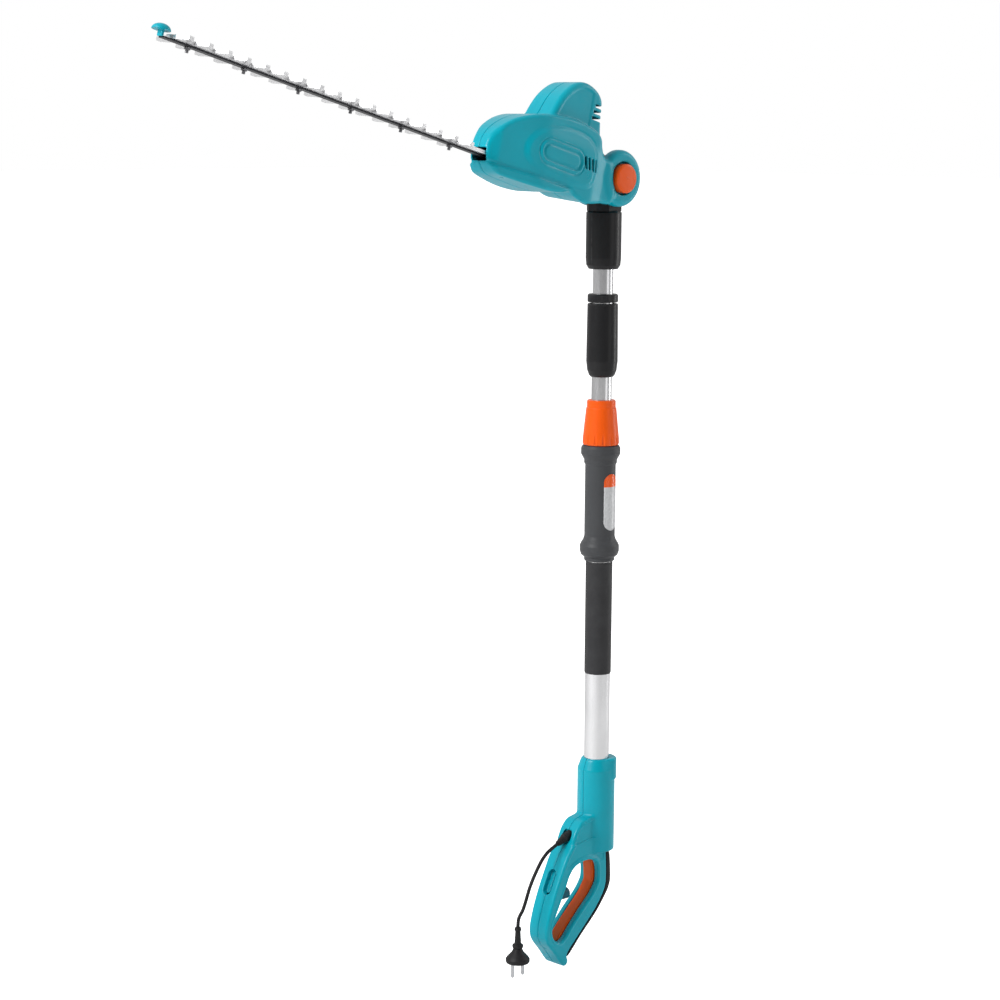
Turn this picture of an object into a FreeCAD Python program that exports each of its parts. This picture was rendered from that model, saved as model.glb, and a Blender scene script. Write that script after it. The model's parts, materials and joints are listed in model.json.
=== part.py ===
"""Corded pole hedge trimmer: tilting cutter head, telescopic two-part pole, loop handle.

Frame: millimetres, +Z up along the pole, origin on the pole axis at the middle of the bare outer tube.
The cutter head points to -X, the side with the tilt button faces -Y.
Head pieces are drawn in the head's own frame (x forward along the blade, y to the button side, z away
from the blade's underside, origin on the tilt axis) and then placed on the pole.
"""
import FreeCAD, Part
import math
import os
import re
import Sketcher

SIZES = {
    # pole, stations are heights above the origin
    "pivot_height": 722.5,
    "rest_tilt": 15,
    "outer_tube_radius": 17,
    "outer_tube_wall": 1.5,
    "inner_tube_radius": 13.5,
    "inner_tube_wall": 1.2,
    "running_gap": 0.05,
    "bare_half": 58.5,
    "grip_bottom": 218.5,
    "grip_top": 369.5,
    "clamp_nut_top": 429.5,
    "coupling_bottom": 460.5,
    "coupling_joint": 500,
    "coupling_top": 570.5,
    "knuckle_bottom": 603.5,
    # head
    "hub_radius": 37,
    "cheek_outer": 34,
    "cheek_inner": 20.05,
    "tongue_half": 19.95,
    "tongue_radius": 30,
    "body_half": 40,
    "hump_half": 27,
    "shell_wall": 2.8,
    "button_radius": 18.85,
    "button_gap": 3,
    # cutter
    "blade_plane": -27,
    "blade_thickness": 2.2,
    "blade_half_width": 30,
    "spine_half_width": 12,
    "bar_thickness": 1.8,
    "bar_half": 4.6,
    "tooth_pitch": 28,
    "tooth_count": 17,
    "first_tooth": 275,
    "bolt_start": 284,
    "bolt_pitch": 84,
    "bolt_count": 6,
    "bolt_radius": 2,
    "stroke": 7,
    "blade_end": 733.5,
    "bar_end": 742,
    # drive
    "crank_x": 140,
    "motor_x": 100,
    "cam_radius": 10,
    "journal_radius": 4,
    "gear_module": 1,
    "gear_teeth": 68,
    "pinion_teeth": 12,
    "profile_shift": 0.3,
    "gear_bottom": -16,
    "gear_width": 7,
    "stator_radius": 21,
    "armature_radius": 13,
    # rear handle
    "handle_half": 18.3,
    "handle_wall": 2.6,
    "barrel_radius": 25.5,
    "barrel_bottom": -186,
    "trigger_half": 8.6,
    "cable_radius": 2.4,
    "plug_x": -149,
    "pin_radius": 2.4,
    "pin_spacing": 19,
}

doc = FreeCAD.newDocument("pole_hedge_trimmer")
sheet = doc.addObject("Spreadsheet::Sheet", "Sizes")
for row, (alias, number) in enumerate(SIZES.items(), 1):
    sheet.set(f"A{row}", alias)
    sheet.set(f"B{row}", str(number))
    sheet.setAlias(f"B{row}", alias)
doc.recompute()

ALIAS = re.compile(r"\b(" + "|".join(SIZES) + r")\b")
nodes = []


def formula(text):
    """The expression text with every alias pointed at the sheet."""
    return ALIAS.sub(r"Sizes.\1", str(text))


def value(text):
    """The number an expression over the sheet gives now."""
    return float(sheet.evalExpression(formula(text)))


def vector(x, y, z):
    return FreeCAD.Vector(value(x), value(y), value(z))


def head_place():
    """The head's frame: turned to face -X, tilted up by the rest angle, on the tilt axis."""
    turn = FreeCAD.Rotation(FreeCAD.Vector(0, 1, 0), value("rest_tilt"))
    face = FreeCAD.Rotation(FreeCAD.Vector(0, 0, 1), 180)
    return FreeCAD.Placement(vector(0, 0, "pivot_height"), turn * face)


def sub_part(obj, label, on_head=False):
    """Name a finished piece, and put a head piece in its place on the pole."""
    obj.Label = label
    if on_head:
        obj.Placement = head_place() * obj.Placement
    nodes.append(obj)
    return obj


# ---------------------------------------------------------------- drawing helpers

def new_sketch(body, role, level=0):
    sketch = body.newObject("Sketcher::SketchObject", "Sketch")
    plane = next(f for f in body.Origin.OriginFeatures if f.Role == role)
    sketch.AttachmentSupport = [(plane, "")]
    sketch.MapMode = "FlatFace"
    sketch.setExpression(".AttachmentOffset.Base.z", formula(level))
    return sketch


def draw(sketch, points):
    """A closed outline of straight lines whose corners are bound to the sheet."""
    first = sketch.GeometryCount
    corners = [vector(x, y, 0) for x, y in points]
    following = corners[1:] + corners[:1]
    sketch.addGeometry([Part.LineSegment(a, b) for a, b in zip(corners, following)], False)
    for step, (x, y) in enumerate(points):
        line = first + step
        before = first + (step - 1) % len(points)
        sketch.addConstraint(Sketcher.Constraint("Coincident", before, 2, line, 1))
        for kind, text in (("DistanceX", x), ("DistanceY", y)):
            number = sketch.addConstraint(Sketcher.Constraint(kind, -1, 1, line, 1, value(text)))
            sketch.setExpression(f"Constraints[{number}]", formula(text))


def body_at(name, at=(0, 0, 0), turn=None):
    body = doc.addObject("PartDesign::Body", name)
    body.Placement = FreeCAD.Placement(vector(*at), turn or FreeCAD.Rotation())
    return body


def turned(name, profile, at=(0, 0, 0), turn=None):
    """A body of revolution about its own Z, from (radius, height) corners."""
    body = body_at(name, at, turn)
    sketch = new_sketch(body, "XZ_Plane")
    draw(sketch, profile)
    spin = body.newObject("PartDesign::Revolution", "Revolution")
    spin.Profile = sketch
    spin.ReferenceAxis = (sketch, ["V_Axis"])
    spin.Angle = 360
    return body


def ring(name, inner, outer, low, high, at=(0, 0, 0), turn=None):
    return turned(name, [(inner, low), (outer, low), (outer, high), (inner, high)], at, turn)


def plate(name, outline, low, thickness):
    """A flat piece in the x-y plane."""
    body = body_at(name)
    sketch = new_sketch(body, "XY_Plane", low)
    draw(sketch, outline)
    pad = body.newObject("PartDesign::Pad", "Pad")
    pad.Profile = sketch
    pad.setExpression("Length", formula(thickness))
    return body


def rod(radius, low, high, x=0, y=0, axis="Z"):
    """A cylinder from low to high along an axis; x and y are the two other coordinates in order."""
    cylinder = doc.addObject("Part::Cylinder", "Cylinder")
    cylinder.setExpression("Radius", formula(radius))
    cylinder.setExpression("Height", formula(f"({high}) - ({low})"))
    turn = {"Z": FreeCAD.Rotation(), "Y": FreeCAD.Rotation(FreeCAD.Vector(1, 0, 0), -90),
            "X": FreeCAD.Rotation(FreeCAD.Vector(0, 1, 0), 90)}[axis]
    place = {"Z": (x, y, low), "Y": (x, low, y), "X": (low, x, y)}[axis]
    cylinder.Placement = FreeCAD.Placement(vector(*place), turn)
    return cylinder


def block(low, high):
    """A box between two corners."""
    box = doc.addObject("Part::Box", "Box")
    for side, a, b in zip(("Length", "Width", "Height"), low, high):
        box.setExpression(side, formula(f"({b}) - ({a})"))
    for letter, a in zip("xyz", low):
        box.setExpression(f".Placement.Base.{letter}", formula(a))
    return box


def fuse(*shapes):
    result = doc.addObject("Part::MultiFuse", "Fusion")
    result.Shapes = list(shapes)
    return result


def cut(base, *tools):
    result = doc.addObject("Part::Cut", "Cut")
    result.Base = base
    result.Tool = tools[0] if len(tools) == 1 else fuse(*tools)
    return result


def common(*shapes):
    result = doc.addObject("Part::MultiCommon", "Common")
    result.Shapes = list(shapes)
    return result


def group(*shapes):
    """Separate identical solids that share one node."""
    result = doc.addObject("Part::Compound", "Compound")
    result.Links = list(shapes)
    return result


def rounded(base, radius, chosen):
    """Round the edges of a piece that a test picks."""
    doc.recompute()
    fillet = doc.addObject("Part::Fillet", "Fillet")
    fillet.Base = base
    size = value(radius)
    fillet.Edges = [(number, size, size) for number, edge in enumerate(base.Shape.Edges, 1) if chosen(edge)]
    return fillet


def at_height(level):
    """Picks edges that lie in a plane of constant z."""
    def test(edge):
        box = edge.BoundBox
        return abs(box.ZMin - level) < 0.01 and abs(box.ZMax - level) < 0.01
    return test


def feature(name, shape, turn=None, at=(0, 0, 0)):
    """A piece from a ready shape, turned about the origin and then moved."""
    obj = doc.addObject("Part::Feature", name)
    obj.Shape = shape
    obj.Placement = FreeCAD.Placement(vector(*at), turn or FreeCAD.Rotation()) * obj.Placement
    return obj


def coil(radius, wire, low, high, turns):
    """A helical spring along Z, its ends inside low and high."""
    rise = high - low - 2 * wire
    helix = Part.makeHelix(rise / turns, rise, radius)
    section = Part.Wire(Part.makeCircle(wire, FreeCAD.Vector(radius, 0, 0), FreeCAD.Vector(0, 1, 0)))
    solid = helix.makePipeShell([section], True, True)
    solid.translate(FreeCAD.Vector(0, 0, low + wire))
    return solid


# ---------------------------------------------------------------- moulded shells

def face_of(points, corner):
    """A flat face in the x-z plane whose outer corners are rounded by stepping in and out again."""
    corners = [FreeCAD.Vector(x, 0, z) for x, z in points]
    face = Part.Face(Part.makePolygon(corners + corners[:1]))
    if corner:
        inward = face.makeOffset2D(-corner, 2, False, False, False)
        face = Part.Face(inward.makeOffset2D(corner, 0, False, False, False).OuterWire)
    return face


def spread(face, half_width):
    """A face in the x-z plane spread evenly to both sides."""
    moved = face.translated(FreeCAD.Vector(0, -half_width, 0))
    return moved.extrude(FreeCAD.Vector(0, 2 * half_width, 0))


def soft_slab(face, half_width, edge_radius):
    """A slab with its two outer rims rounded, or bevelled where rounding is impossible."""
    solid = spread(face, half_width)
    rims = [e for e in solid.Edges if abs(abs(e.BoundBox.YMin) - half_width) < 0.01 and e.BoundBox.YLength < 0.01]
    return solid.makeFillet(edge_radius, rims)


def half_space(side):
    """A large box that covers one side of the x-z plane."""
    reach = 1000
    box = Part.makeBox(2 * reach, reach, 2 * reach, FreeCAD.Vector(-reach, 0, -reach))
    if side < 0:
        box.translate(FreeCAD.Vector(0, -reach, 0))
    return box


def cylinder_y(radius, low, high, x, z):
    return Part.makeCylinder(radius, high - low, FreeCAD.Vector(x, low, z), FreeCAD.Vector(0, 1, 0))


def box_between(low, high):
    size = [b - a for a, b in zip(low, high)]
    return Part.makeBox(*size, FreeCAD.Vector(*low))


SCREW_RADIUS = 1.5
SCREW_HEAD_RADIUS = 2.8
SCREW_HEAD_HEIGHT = 2.4
SCREW_PLAY = 0.1


def bosses(spots):
    """Screw posts that run across a casing; a spot is (x, z, post radius, half width at the spot)."""
    return [cylinder_y(post, -half, half, x, z) for x, z, post, half in spots]


def screw_holes(spots, recess):
    """The bore of each screw: blind on the +y side, through with a recess for the head on the other."""
    holes = []
    for x, z, post, half in spots:
        holes.append(cylinder_y(SCREW_RADIUS + SCREW_PLAY, -half - 1, half / 2, x, z))
        holes.append(cylinder_y(SCREW_HEAD_RADIUS + SCREW_PLAY, -half - 20, -half + recess, x, z))
    return holes


def screws(spots, recess):
    """Pan-head screws that sit at the bottom of their recesses."""
    made = []
    for x, z, post, half in spots:
        shank = cylinder_y(SCREW_RADIUS, -half + recess, half / 2 - 0.5, x, z)
        head = cylinder_y(SCREW_HEAD_RADIUS, -half + recess - SCREW_HEAD_HEIGHT, -half + recess, x, z)
        cross_a = box_between((x - 1.8, -half + recess - 3, z - 0.4), (x + 1.8, -half + recess - 1.2, z + 0.4))
        cross_b = box_between((x - 0.4, -half + recess - 3, z - 1.8), (x + 0.4, -half + recess - 1.2, z + 1.8))
        made.append(shank.fuse(head).removeSplitter().cut([cross_a, cross_b]))
    return Part.makeCompound(made)


# ---------------------------------------------------------------- head casing

def head_outlines():
    """Side outlines of the casing body and of the motor hump, in the head's frame."""
    body = [(20, 35), (62, 40), (84, 47), (112, 49), (150, 45), (187, 34), (214, 18), (231, 3), (236, -12),
            (235, -38), (222, -50), (132, -50.5), (104, -45), (56, -48), (20, -36)]
    hump = [(40, 20), (54, 59), (58, 85), (72, 99.5), (98, 102), (120, 90), (136, 66), (146, 40), (140, 20)]
    return body, hump


def plan_limit(half, front, corner):
    """The casing seen from above: sides drawn in towards a blunt nose."""
    nose_half = half * 0.52
    outline = [(-60, -half), (158, -half), (front, -nose_half), (front, nose_half), (158, half), (-60, half)]
    points = [FreeCAD.Vector(x, y, -80) for x, y in outline]
    face = Part.Face(Part.makePolygon(points + points[:1]))
    solid = face.extrude(FreeCAD.Vector(0, 0, 220))
    upright = [e for e in solid.Edges if e.BoundBox.ZLength > 100 and e.BoundBox.XMin > front - 1]
    return solid.makeFillet(corner, upright)


def head_outer():
    body, hump = head_outlines()
    half = value("body_half")
    hub = value("hub_radius")
    cheek = value("cheek_outer")
    trunk = soft_slab(face_of(body, 8), half, 7).common(plan_limit(half, 237, 9))
    tower = soft_slab(face_of(hump, 10), value("hump_half"), 8)
    disc = cylinder_y(hub, -cheek, cheek, 0, 0)
    rims = [e for e in disc.Edges if abs(abs(e.BoundBox.YMin) - cheek) < 0.01 and e.BoundBox.YLength < 0.01]
    disc = disc.makeFillet(4, rims)
    return trunk.fuse([tower, disc])


def head_cavity():
    body, hump = head_outlines()
    wall = value("shell_wall")
    trunk = spread(face_of(body, 8).makeOffset2D(-wall, 0, False, False, False), value("body_half") - wall)
    behind_hub = box_between((-100, -60, -100), (44, 60, 100))
    trunk = trunk.cut(behind_hub).common(plan_limit(value("body_half") - wall, 237 - wall, 7))
    tower = spread(face_of(hump, 10).makeOffset2D(-wall, 0, False, False, False), value("hump_half") - wall)
    return trunk.fuse(tower.cut(behind_hub))


def tongue_space():
    """Between the two cheeks: where the knuckle's tongue and neck swing."""
    gap = value("cheek_inner")
    swing = cylinder_y(value("hub_radius") + 3, -gap, gap, 0, 0)
    open_back = box_between((-80, -gap, -80), (16, gap, 80))
    return swing.fuse(open_back)


def button_well():
    radius = value("button_radius") + value("button_gap")
    floor = value("cheek_outer") - 10
    well = cylinder_y(radius, floor, 60, 0, 0)
    return well.fuse(cylinder_y(16.2, 0, floor + 1, 0, 0))


def vent_slots():
    """Cooling slots: three across the back of the hump and four in each flank."""
    slots = []
    for step in range(3):
        slots.append(box_between((50, -40, 60 + 7.5 * step), (72, 40, 63.2 + 7.5 * step)))
    for step in range(4):
        low = 57 + 6.2 * step
        slots.append(box_between((low, -50, -7), (low + 3, 50, 7)))
    return slots


HEAD_SCREWS = [(212, -3, 4, 25.5), (186, 9, 4, 31.5), (127, 62, 3.6, 25.5), (66, 40, 4, 25.5),
               (62, -36, 4, 38.5), (214, -42, 3.4, 24.5)]
HEAD_RECESS = 5


def bolt_seat():
    """Far cheek: the hole of the tilt bolt and the seat of its head."""
    cheek = value("cheek_outer")
    return cylinder_y(6.05, -cheek - 1, 0, 0, 0).fuse(cylinder_y(12, -cheek - 1, -cheek + 6, 0, 0))


def make_head_shells():
    casing = head_outer().cut([head_cavity(), tongue_space()])
    inside = head_outer()
    casing = casing.fuse([post.common(inside) for post in bosses(HEAD_SCREWS)])
    mouth = box_between((213, -15, -36.5), (250, 15, -20.5))
    tools = [mouth, button_well(), bolt_seat()] + vent_slots() + screw_holes(HEAD_SCREWS, HEAD_RECESS)
    casing = casing.cut(tools)
    for label, side in (("head_shell_left", 1), ("head_shell_right", -1)):
        shell = casing.common(half_space(side))
        sub_part(feature(label, max(shell.Solids, key=lambda solid: solid.Volume)), label, True)
    sub_part(feature("head_screws", screws(HEAD_SCREWS, HEAD_RECESS)), "head_screws", True)


# ---------------------------------------------------------------- drive

def involute_gear(teeth, shift, thinning, bore, low, width):
    """A spur gear: involute flanks with a profile shift, thinned a little for backlash."""
    module = value("gear_module")
    pressure = math.radians(20)
    pitch = module * teeth / 2
    base = pitch * math.cos(pressure)
    tip = pitch + module * (1 + shift)
    root = pitch - module * (1.25 - shift)
    thickness = module * (math.pi / 2 + 2 * shift * math.tan(pressure)) - thinning

    def half_angle(radius):
        """Half the tooth's angle at a radius."""
        roll = math.acos(min(1, base / radius))
        spread_angle = math.tan(roll) - roll
        reference = math.tan(pressure) - pressure
        return thickness / (2 * pitch) + reference - spread_angle

    lowest = max(base, root)
    radii = [lowest + (tip - lowest) * step / 4 for step in range(5)]
    points = []
    for tooth in range(teeth):
        middle = 2 * math.pi * tooth / teeth
        rising = [(root, -half_angle(lowest))] + [(radius, -half_angle(radius)) for radius in radii]
        falling = [(radius, -angle) for radius, angle in reversed(rising)]
        for radius, angle in rising + falling:
            points.append(FreeCAD.Vector(radius * math.cos(middle + angle), radius * math.sin(middle + angle), low))
    distinct = [points[0]]
    for point in points[1:]:
        if (point - distinct[-1]).Length > 1e-4:
            distinct.append(point)
    gear = Part.Face(Part.makePolygon(distinct + distinct[:1])).extrude(FreeCAD.Vector(0, 0, width))
    return gear.cut(Part.makeCylinder(bore, width + 2, FreeCAD.Vector(0, 0, low - 1)))


GEAR_BACKLASH = 0.12
GEAR_SEAT_RADIUS = 6
MOTOR_SHAFT_RADIUS = 2.5


def make_gears():
    low = value("gear_bottom")
    width = value("gear_width")
    shift = value("profile_shift")
    big = involute_gear(int(value("gear_teeth")), -shift, GEAR_BACKLASH, GEAR_SEAT_RADIUS, low, width)
    holes = [Part.makeCylinder(5, width + 2, FreeCAD.Vector(19, 0, low - 1)) for step in range(6)]
    for step, hole in enumerate(holes):
        hole.rotate(FreeCAD.Vector(), FreeCAD.Vector(0, 0, 1), 60 * step)
    sub_part(feature("drive_gear", big.cut(holes), at=("crank_x", 0, 0)), "drive_gear", True)

    teeth = int(value("pinion_teeth"))
    small = involute_gear(teeth, shift, GEAR_BACKLASH, MOTOR_SHAFT_RADIUS, low, width + 1)
    # the big gear has a tooth on the line of centres (gear_teeth is even), so the pinion shows a gap there
    half_tooth = FreeCAD.Rotation(FreeCAD.Vector(0, 0, 1), 180 / teeth)
    sub_part(feature("motor_pinion", small, half_tooth, ("motor_x", 0, 0)), "motor_pinion", True)


def make_crankshaft():
    """One shaft with two cams set half a turn apart, one for each blade."""
    journal = rod("journal_radius", -37.5, -1, "crank_x")
    seat = rod(GEAR_SEAT_RADIUS, "gear_bottom - 2", "gear_bottom + gear_width", "crank_x")
    upper = rod("cam_radius", "blade_plane + 0.1", "gear_bottom - 2", "crank_x", "stroke")
    lower = rod("cam_radius", "blade_plane - blade_thickness - 0.05", "blade_plane - 0.1", "crank_x", "-stroke")
    sub_part(fuse(journal, seat, upper, lower), "eccentric_shaft", True)
    low_bush = ring("low_bush", "journal_radius + running_gap", 7, -38, -32.5, ("crank_x", 0, 0))
    high_bush = ring("high_bush", "journal_radius + running_gap", 7, -6, -2, ("crank_x", 0, 0))
    sub_part(group(low_bush, high_bush), "shaft_bushes", True)


def make_gearbox():
    """Two cast plates: the base carries the guide bar, the cover sits over the gear."""
    outline = [(100, -32.5), (150, -32.5), (206, -17), (206, 17), (150, 32.5), (100, 32.5)]
    base = plate("base", outline, -38.4, 6)
    holes = [rod(7, -45, -30, "crank_x")] + [rod(2.1, -45, -30, x) for x in BAR_SCREWS]
    recesses = [rod(4, -45, -36.4, x) for x in BAR_SCREWS]
    sub_part(cut(base, *holes, *recesses), "gearbox_base", True)
    cover = plate("cover", [(84, -20), (176, -16), (176, 16), (84, 20)], -6, 3.5)
    walls = [block((170, -16, -12), (176, 16, -6)), block((84, -20, -2.5), (88, 20, 1))]
    trimmed = cut(fuse(cover, walls[1]), rod(7, -8, 0, "crank_x"), rod(8.1, -8, 4, "motor_x"))
    sub_part(trimmed, "gearbox_cover", True)


def make_motor():
    at = ("motor_x", 0, 0)
    sub_part(ring("motor_shaft", 0, MOTOR_SHAFT_RADIUS, -16, 86, at), "motor_shaft", True)
    bore = MOTOR_SHAFT_RADIUS + 0.03
    low_bearing = ring("low_bearing", bore, 8, -2.4, 2.6, at)
    high_bearing = ring("high_bearing", bore, 8, 81, 86, at)
    bearings = []
    for bearing, low in ((low_bearing, -2.4), (high_bearing, 81)):
        bearings.append(cut(bearing, ring("race", 4.2, 6.4, low - 1, low + 1, at)))
    sub_part(group(*bearings), "motor_bearings", True)
    core = rod("armature_radius", 18, 50, "motor_x")
    slots = []
    for step in range(12):
        angle = math.radians(30 * step)
        x = f"motor_x + {11.5 * math.cos(angle)}"
        slots.append(rod(1.2, 17, 51, x, f"{11.5 * math.sin(angle)}"))
    sub_part(cut(core, rod(MOTOR_SHAFT_RADIUS, 17, 51, "motor_x"), *slots), "armature_core", True)
    drum = rod(9, 60, 72, "motor_x")
    gaps = []
    for step in range(6):
        gap = doc.addObject("Part::Box", "Box")
        gap.Length = 20
        gap.Width = 0.6
        gap.Height = 8
        turn = FreeCAD.Rotation(FreeCAD.Vector(0, 0, 1), 30 * step)
        shift = turn.multVec(FreeCAD.Vector(-10, -0.3, 0))
        gap.Placement = FreeCAD.Placement(vector("motor_x", 0, 61) + shift, turn)
        gaps.append(gap)
    solid_drum = cut(drum, rod(MOTOR_SHAFT_RADIUS, 59, 73, "motor_x"))
    grooves = cut(fuse(*gaps), rod(7.5, 59, 73, "motor_x"))
    sub_part(cut(solid_drum, grooves), "commutator", True)
    make_fan()
    stack = ring("stack", "armature_radius + 0.6", "stator_radius", 20, 48, at)
    flats = [block((f"motor_x - 30", side, 19), (f"motor_x + 30", f"{side} + 10", 49)) for side in (18.5, -28.5)]
    sub_part(cut(stack, *flats), "motor_stator", True)
    coils = ring("coils", "armature_radius + 1", "stator_radius - 1.5", 48, 55, at)
    gaps = [block((f"motor_x - 30", -4, 47), (f"motor_x + 30", 4, 56))]
    sub_part(cut(coils, *gaps), "field_coils", True)
    holders = []
    blocks = []
    for side in (-1, 1):
        near, far = sorted((side * 9.8, side * 21))
        holder = block((f"motor_x - 4", near, 62), (f"motor_x + 4", far, 70))
        near, far = sorted((side * 9.05, side * 19))
        carbon = block((f"motor_x - 2.5", near, 63.5), (f"motor_x + 2.5", far, 68.5))
        holders.append(cut(holder, block((f"motor_x - 2.5", near, 63.5), (f"motor_x + 2.5", far, 68.5))))
        blocks.append(carbon)
    sub_part(group(*holders), "brush_holders", True)
    sub_part(group(*blocks), "carbon_brushes", True)


def make_fan():
    """A radial fan below the armature: a disc with slanted vanes."""
    disc = ring("disc", MOTOR_SHAFT_RADIUS, 18, 5, 6.5, ("motor_x", 0, 0))
    hub = ring("hub", MOTOR_SHAFT_RADIUS, 6, 5, 14, ("motor_x", 0, 0))
    vanes = []
    for step in range(9):
        vane = doc.addObject("Part::Box", "Box")
        vane.Length = 12
        vane.Width = 1.2
        vane.Height = 7
        turn = FreeCAD.Rotation(FreeCAD.Vector(0, 0, 1), 40 * step)
        vane.Placement = FreeCAD.Placement(vector("motor_x", 0, 6) + turn.multVec(FreeCAD.Vector(5.5, 0, 0)), turn)
        vanes.append(vane)
    sub_part(fuse(disc, hub, *vanes), "cooling_fan", True)


# ---------------------------------------------------------------- cutter

def blade(name, low):
    """A double-sided toothed blade with a slotted spine and a yoke around its cam."""
    body = body_at(name)
    spine = new_sketch(body, "XY_Plane", low)
    half = "spine_half_width"
    reach = "(2 * stroke + cam_radius)"
    draw(spine, [(f"crank_x + {reach} + 4", f"-{half}"), ("blade_end - 8", f"-{half}"), ("blade_end", "-4"),
                 ("blade_end", "4"), ("blade_end - 8", half), (f"crank_x + {reach} + 4", half)])
    tooth = new_sketch(body, "XY_Plane", low)
    base, tip = 8, 3.4
    wide = "blade_half_width"
    draw(tooth, [(f"first_tooth - {base}", f"-{half}"), (f"first_tooth - {tip}", f"-{wide}"),
                 (f"first_tooth + {tip}", f"-{wide}"), (f"first_tooth + {base}", f"-{half}"),
                 (f"first_tooth + {base}", half), (f"first_tooth + {tip}", wide),
                 (f"first_tooth - {tip}", wide), (f"first_tooth - {base}", half)])
    for sketch in (spine, tooth):
        pad = body.newObject("PartDesign::Pad", "Pad")
        pad.Profile = sketch
        pad.setExpression("Length", formula("blade_thickness - 0.05"))
    pattern = body.newObject("PartDesign::LinearPattern", "Teeth")
    pattern.Originals = [pad]
    pattern.Direction = (tooth, ["H_Axis"])
    pattern.setExpression("Length", formula("tooth_pitch * (tooth_count - 1)"))
    pattern.setExpression("Occurrences", formula("tooth_count"))
    body.Tip = pattern
    yoke = block((f"crank_x - {reach} - 7", "-cam_radius - stroke - 8", low),
                 (f"crank_x + {reach} + 6", "cam_radius + stroke + 8", f"{low} + blade_thickness - 0.05"))
    window = block((f"crank_x - {reach} - 0.1", "-cam_radius - stroke - 0.1", "blade_plane - 5"),
                   (f"crank_x + {reach} + 0.1", "cam_radius + stroke + 0.1", "blade_plane + 5"))
    slots = []
    for step in range(int(value("bolt_count"))):
        middle = f"bolt_start + bolt_pitch * {step}"
        width = "bolt_radius + 0.1"
        slots.append(block((f"{middle} - stroke", f"-({width})", "blade_plane - 5"),
                           (f"{middle} + stroke", width, "blade_plane + 5")))
        slots.append(rod(width, "blade_plane - 5", "blade_plane + 5", f"{middle} - stroke"))
        slots.append(rod(width, "blade_plane - 5", "blade_plane + 5", f"{middle} + stroke"))
    return cut(fuse(body, yoke), window, *slots)


BAR_SCREWS = (180, 198)


def make_cutter():
    sub_part(blade("upper", "blade_plane + 0.05"), "upper_blade", True)
    sub_part(blade("lower", "blade_plane - blade_thickness"), "lower_blade", True)
    top = "blade_plane - blade_thickness - 0.1"
    bar = plate("bar", [(165, "-bar_half"), ("bar_end", "-bar_half"), ("bar_end", "bar_half"), (165, "bar_half")],
                f"{top} - bar_thickness", "bar_thickness")
    holes = [rod("bolt_radius", -40, -20, f"bolt_start + bolt_pitch * {n}") for n in range(6)]
    holes += [rod(2, -40, -20, x) for x in BAR_SCREWS]
    sub_part(cut(bar, *holes), "guide_bar", True)
    bar_screws = []
    for x in BAR_SCREWS:
        head = rod(3.8, -38.4, -36.4, x)
        shank = rod(2, -36.4, f"{top}", x)
        bar_screws.append(fuse(head, shank))
    sub_part(group(*bar_screws), "bar_screws", True)
    bolts = []
    nuts = []
    for step in range(int(value("bolt_count"))):
        x = f"bolt_start + bolt_pitch * {step}"
        head_low = "blade_plane + blade_thickness + 0.1"
        bolts.append(fuse(rod("bolt_radius", f"{top} - bar_thickness - 6.5", head_low, x),
                          rod(5.4, head_low, f"{head_low} + 0.8", x), rod(3.8, f"{head_low} + 0.8", f"{head_low} + 2.6", x)))
        nut = doc.addObject("Part::Prism", "Prism")
        nut.Polygon = 6
        nut.Circumradius = 4
        nut.Height = 2.8
        nut.Placement = FreeCAD.Placement(vector(x, 0, f"{top} - bar_thickness - 2.8"), FreeCAD.Rotation())
        nuts.append(cut(nut, rod("bolt_radius", -50, -20, x)))
    sub_part(group(*bolts), "blade_bolts", True)
    sub_part(group(*nuts), "blade_nuts", True)
    make_tip_guard()


def make_tip_guard():
    """A rounded cap over the end of the guide bar that keeps the blade tips off the ground."""
    outline = [("bar_end - 7", -10), ("bar_end - 1", -11.5), ("bar_end + 5", -10), ("bar_end + 9", -5.5),
               ("bar_end + 10.5", 0), ("bar_end + 9", 5.5), ("bar_end + 5", 10), ("bar_end - 1", 11.5),
               ("bar_end - 7", 10)]
    lid = plate("lid", outline, "blade_plane + blade_thickness + 1.4", 7)
    foot = plate("foot", [("bar_end", -5.5), ("bar_end + 4.5", -4.5), ("bar_end + 4.5", 4.5), ("bar_end", 5.5)],
                 "blade_plane - 6", 12)
    whole = fuse(lid, foot)
    crown = rounded(whole, 3.5, at_height(value("blade_plane + blade_thickness + 8.4")))
    sub_part(crown, "tip_guard", True)


# ---------------------------------------------------------------- tilt joint

TOWARDS_BUTTON = FreeCAD.Rotation(FreeCAD.Vector(1, 0, 0), -90)
ALONG_X = FreeCAD.Rotation(FreeCAD.Vector(0, 1, 0), 90)


def make_tilt_button():
    cap = [(0, 30), ("button_radius", 30), ("button_radius", 39), ("button_radius - 1", 40.2),
           ("button_radius - 3", 40.8), (0, 41.4)]
    sub_part(turned("cap", cap, turn=TOWARDS_BUTTON), "tilt_button", True)
    star = ring("star", 0, 14.5, 20.6, 30, turn=TOWARDS_BUTTON)
    lobes = []
    for step in range(12):
        angle = math.radians(30 * step)
        lobes.append(rod(2, 20.6, 28, f"{14 * math.cos(angle)}", f"{14 * math.sin(angle)}", "Y"))
    sub_part(fuse(star, *lobes), "lock_star", True)
    sub_part(feature("button_spring", coil(8, 1.1, 6.2, 20.4, 3), TOWARDS_BUTTON), "button_spring", True)
    bolt = [(0, "-cheek_outer + 1.5"), (9, "-cheek_outer + 0.5"), (11.5, "-cheek_outer + 2.5"),
            (11.5, "-cheek_outer + 6"), (6, "-cheek_outer + 6"), (6, 5), (0, 5)]
    sub_part(turned("bolt", bolt, turn=TOWARDS_BUTTON), "pivot_bolt", True)


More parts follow.
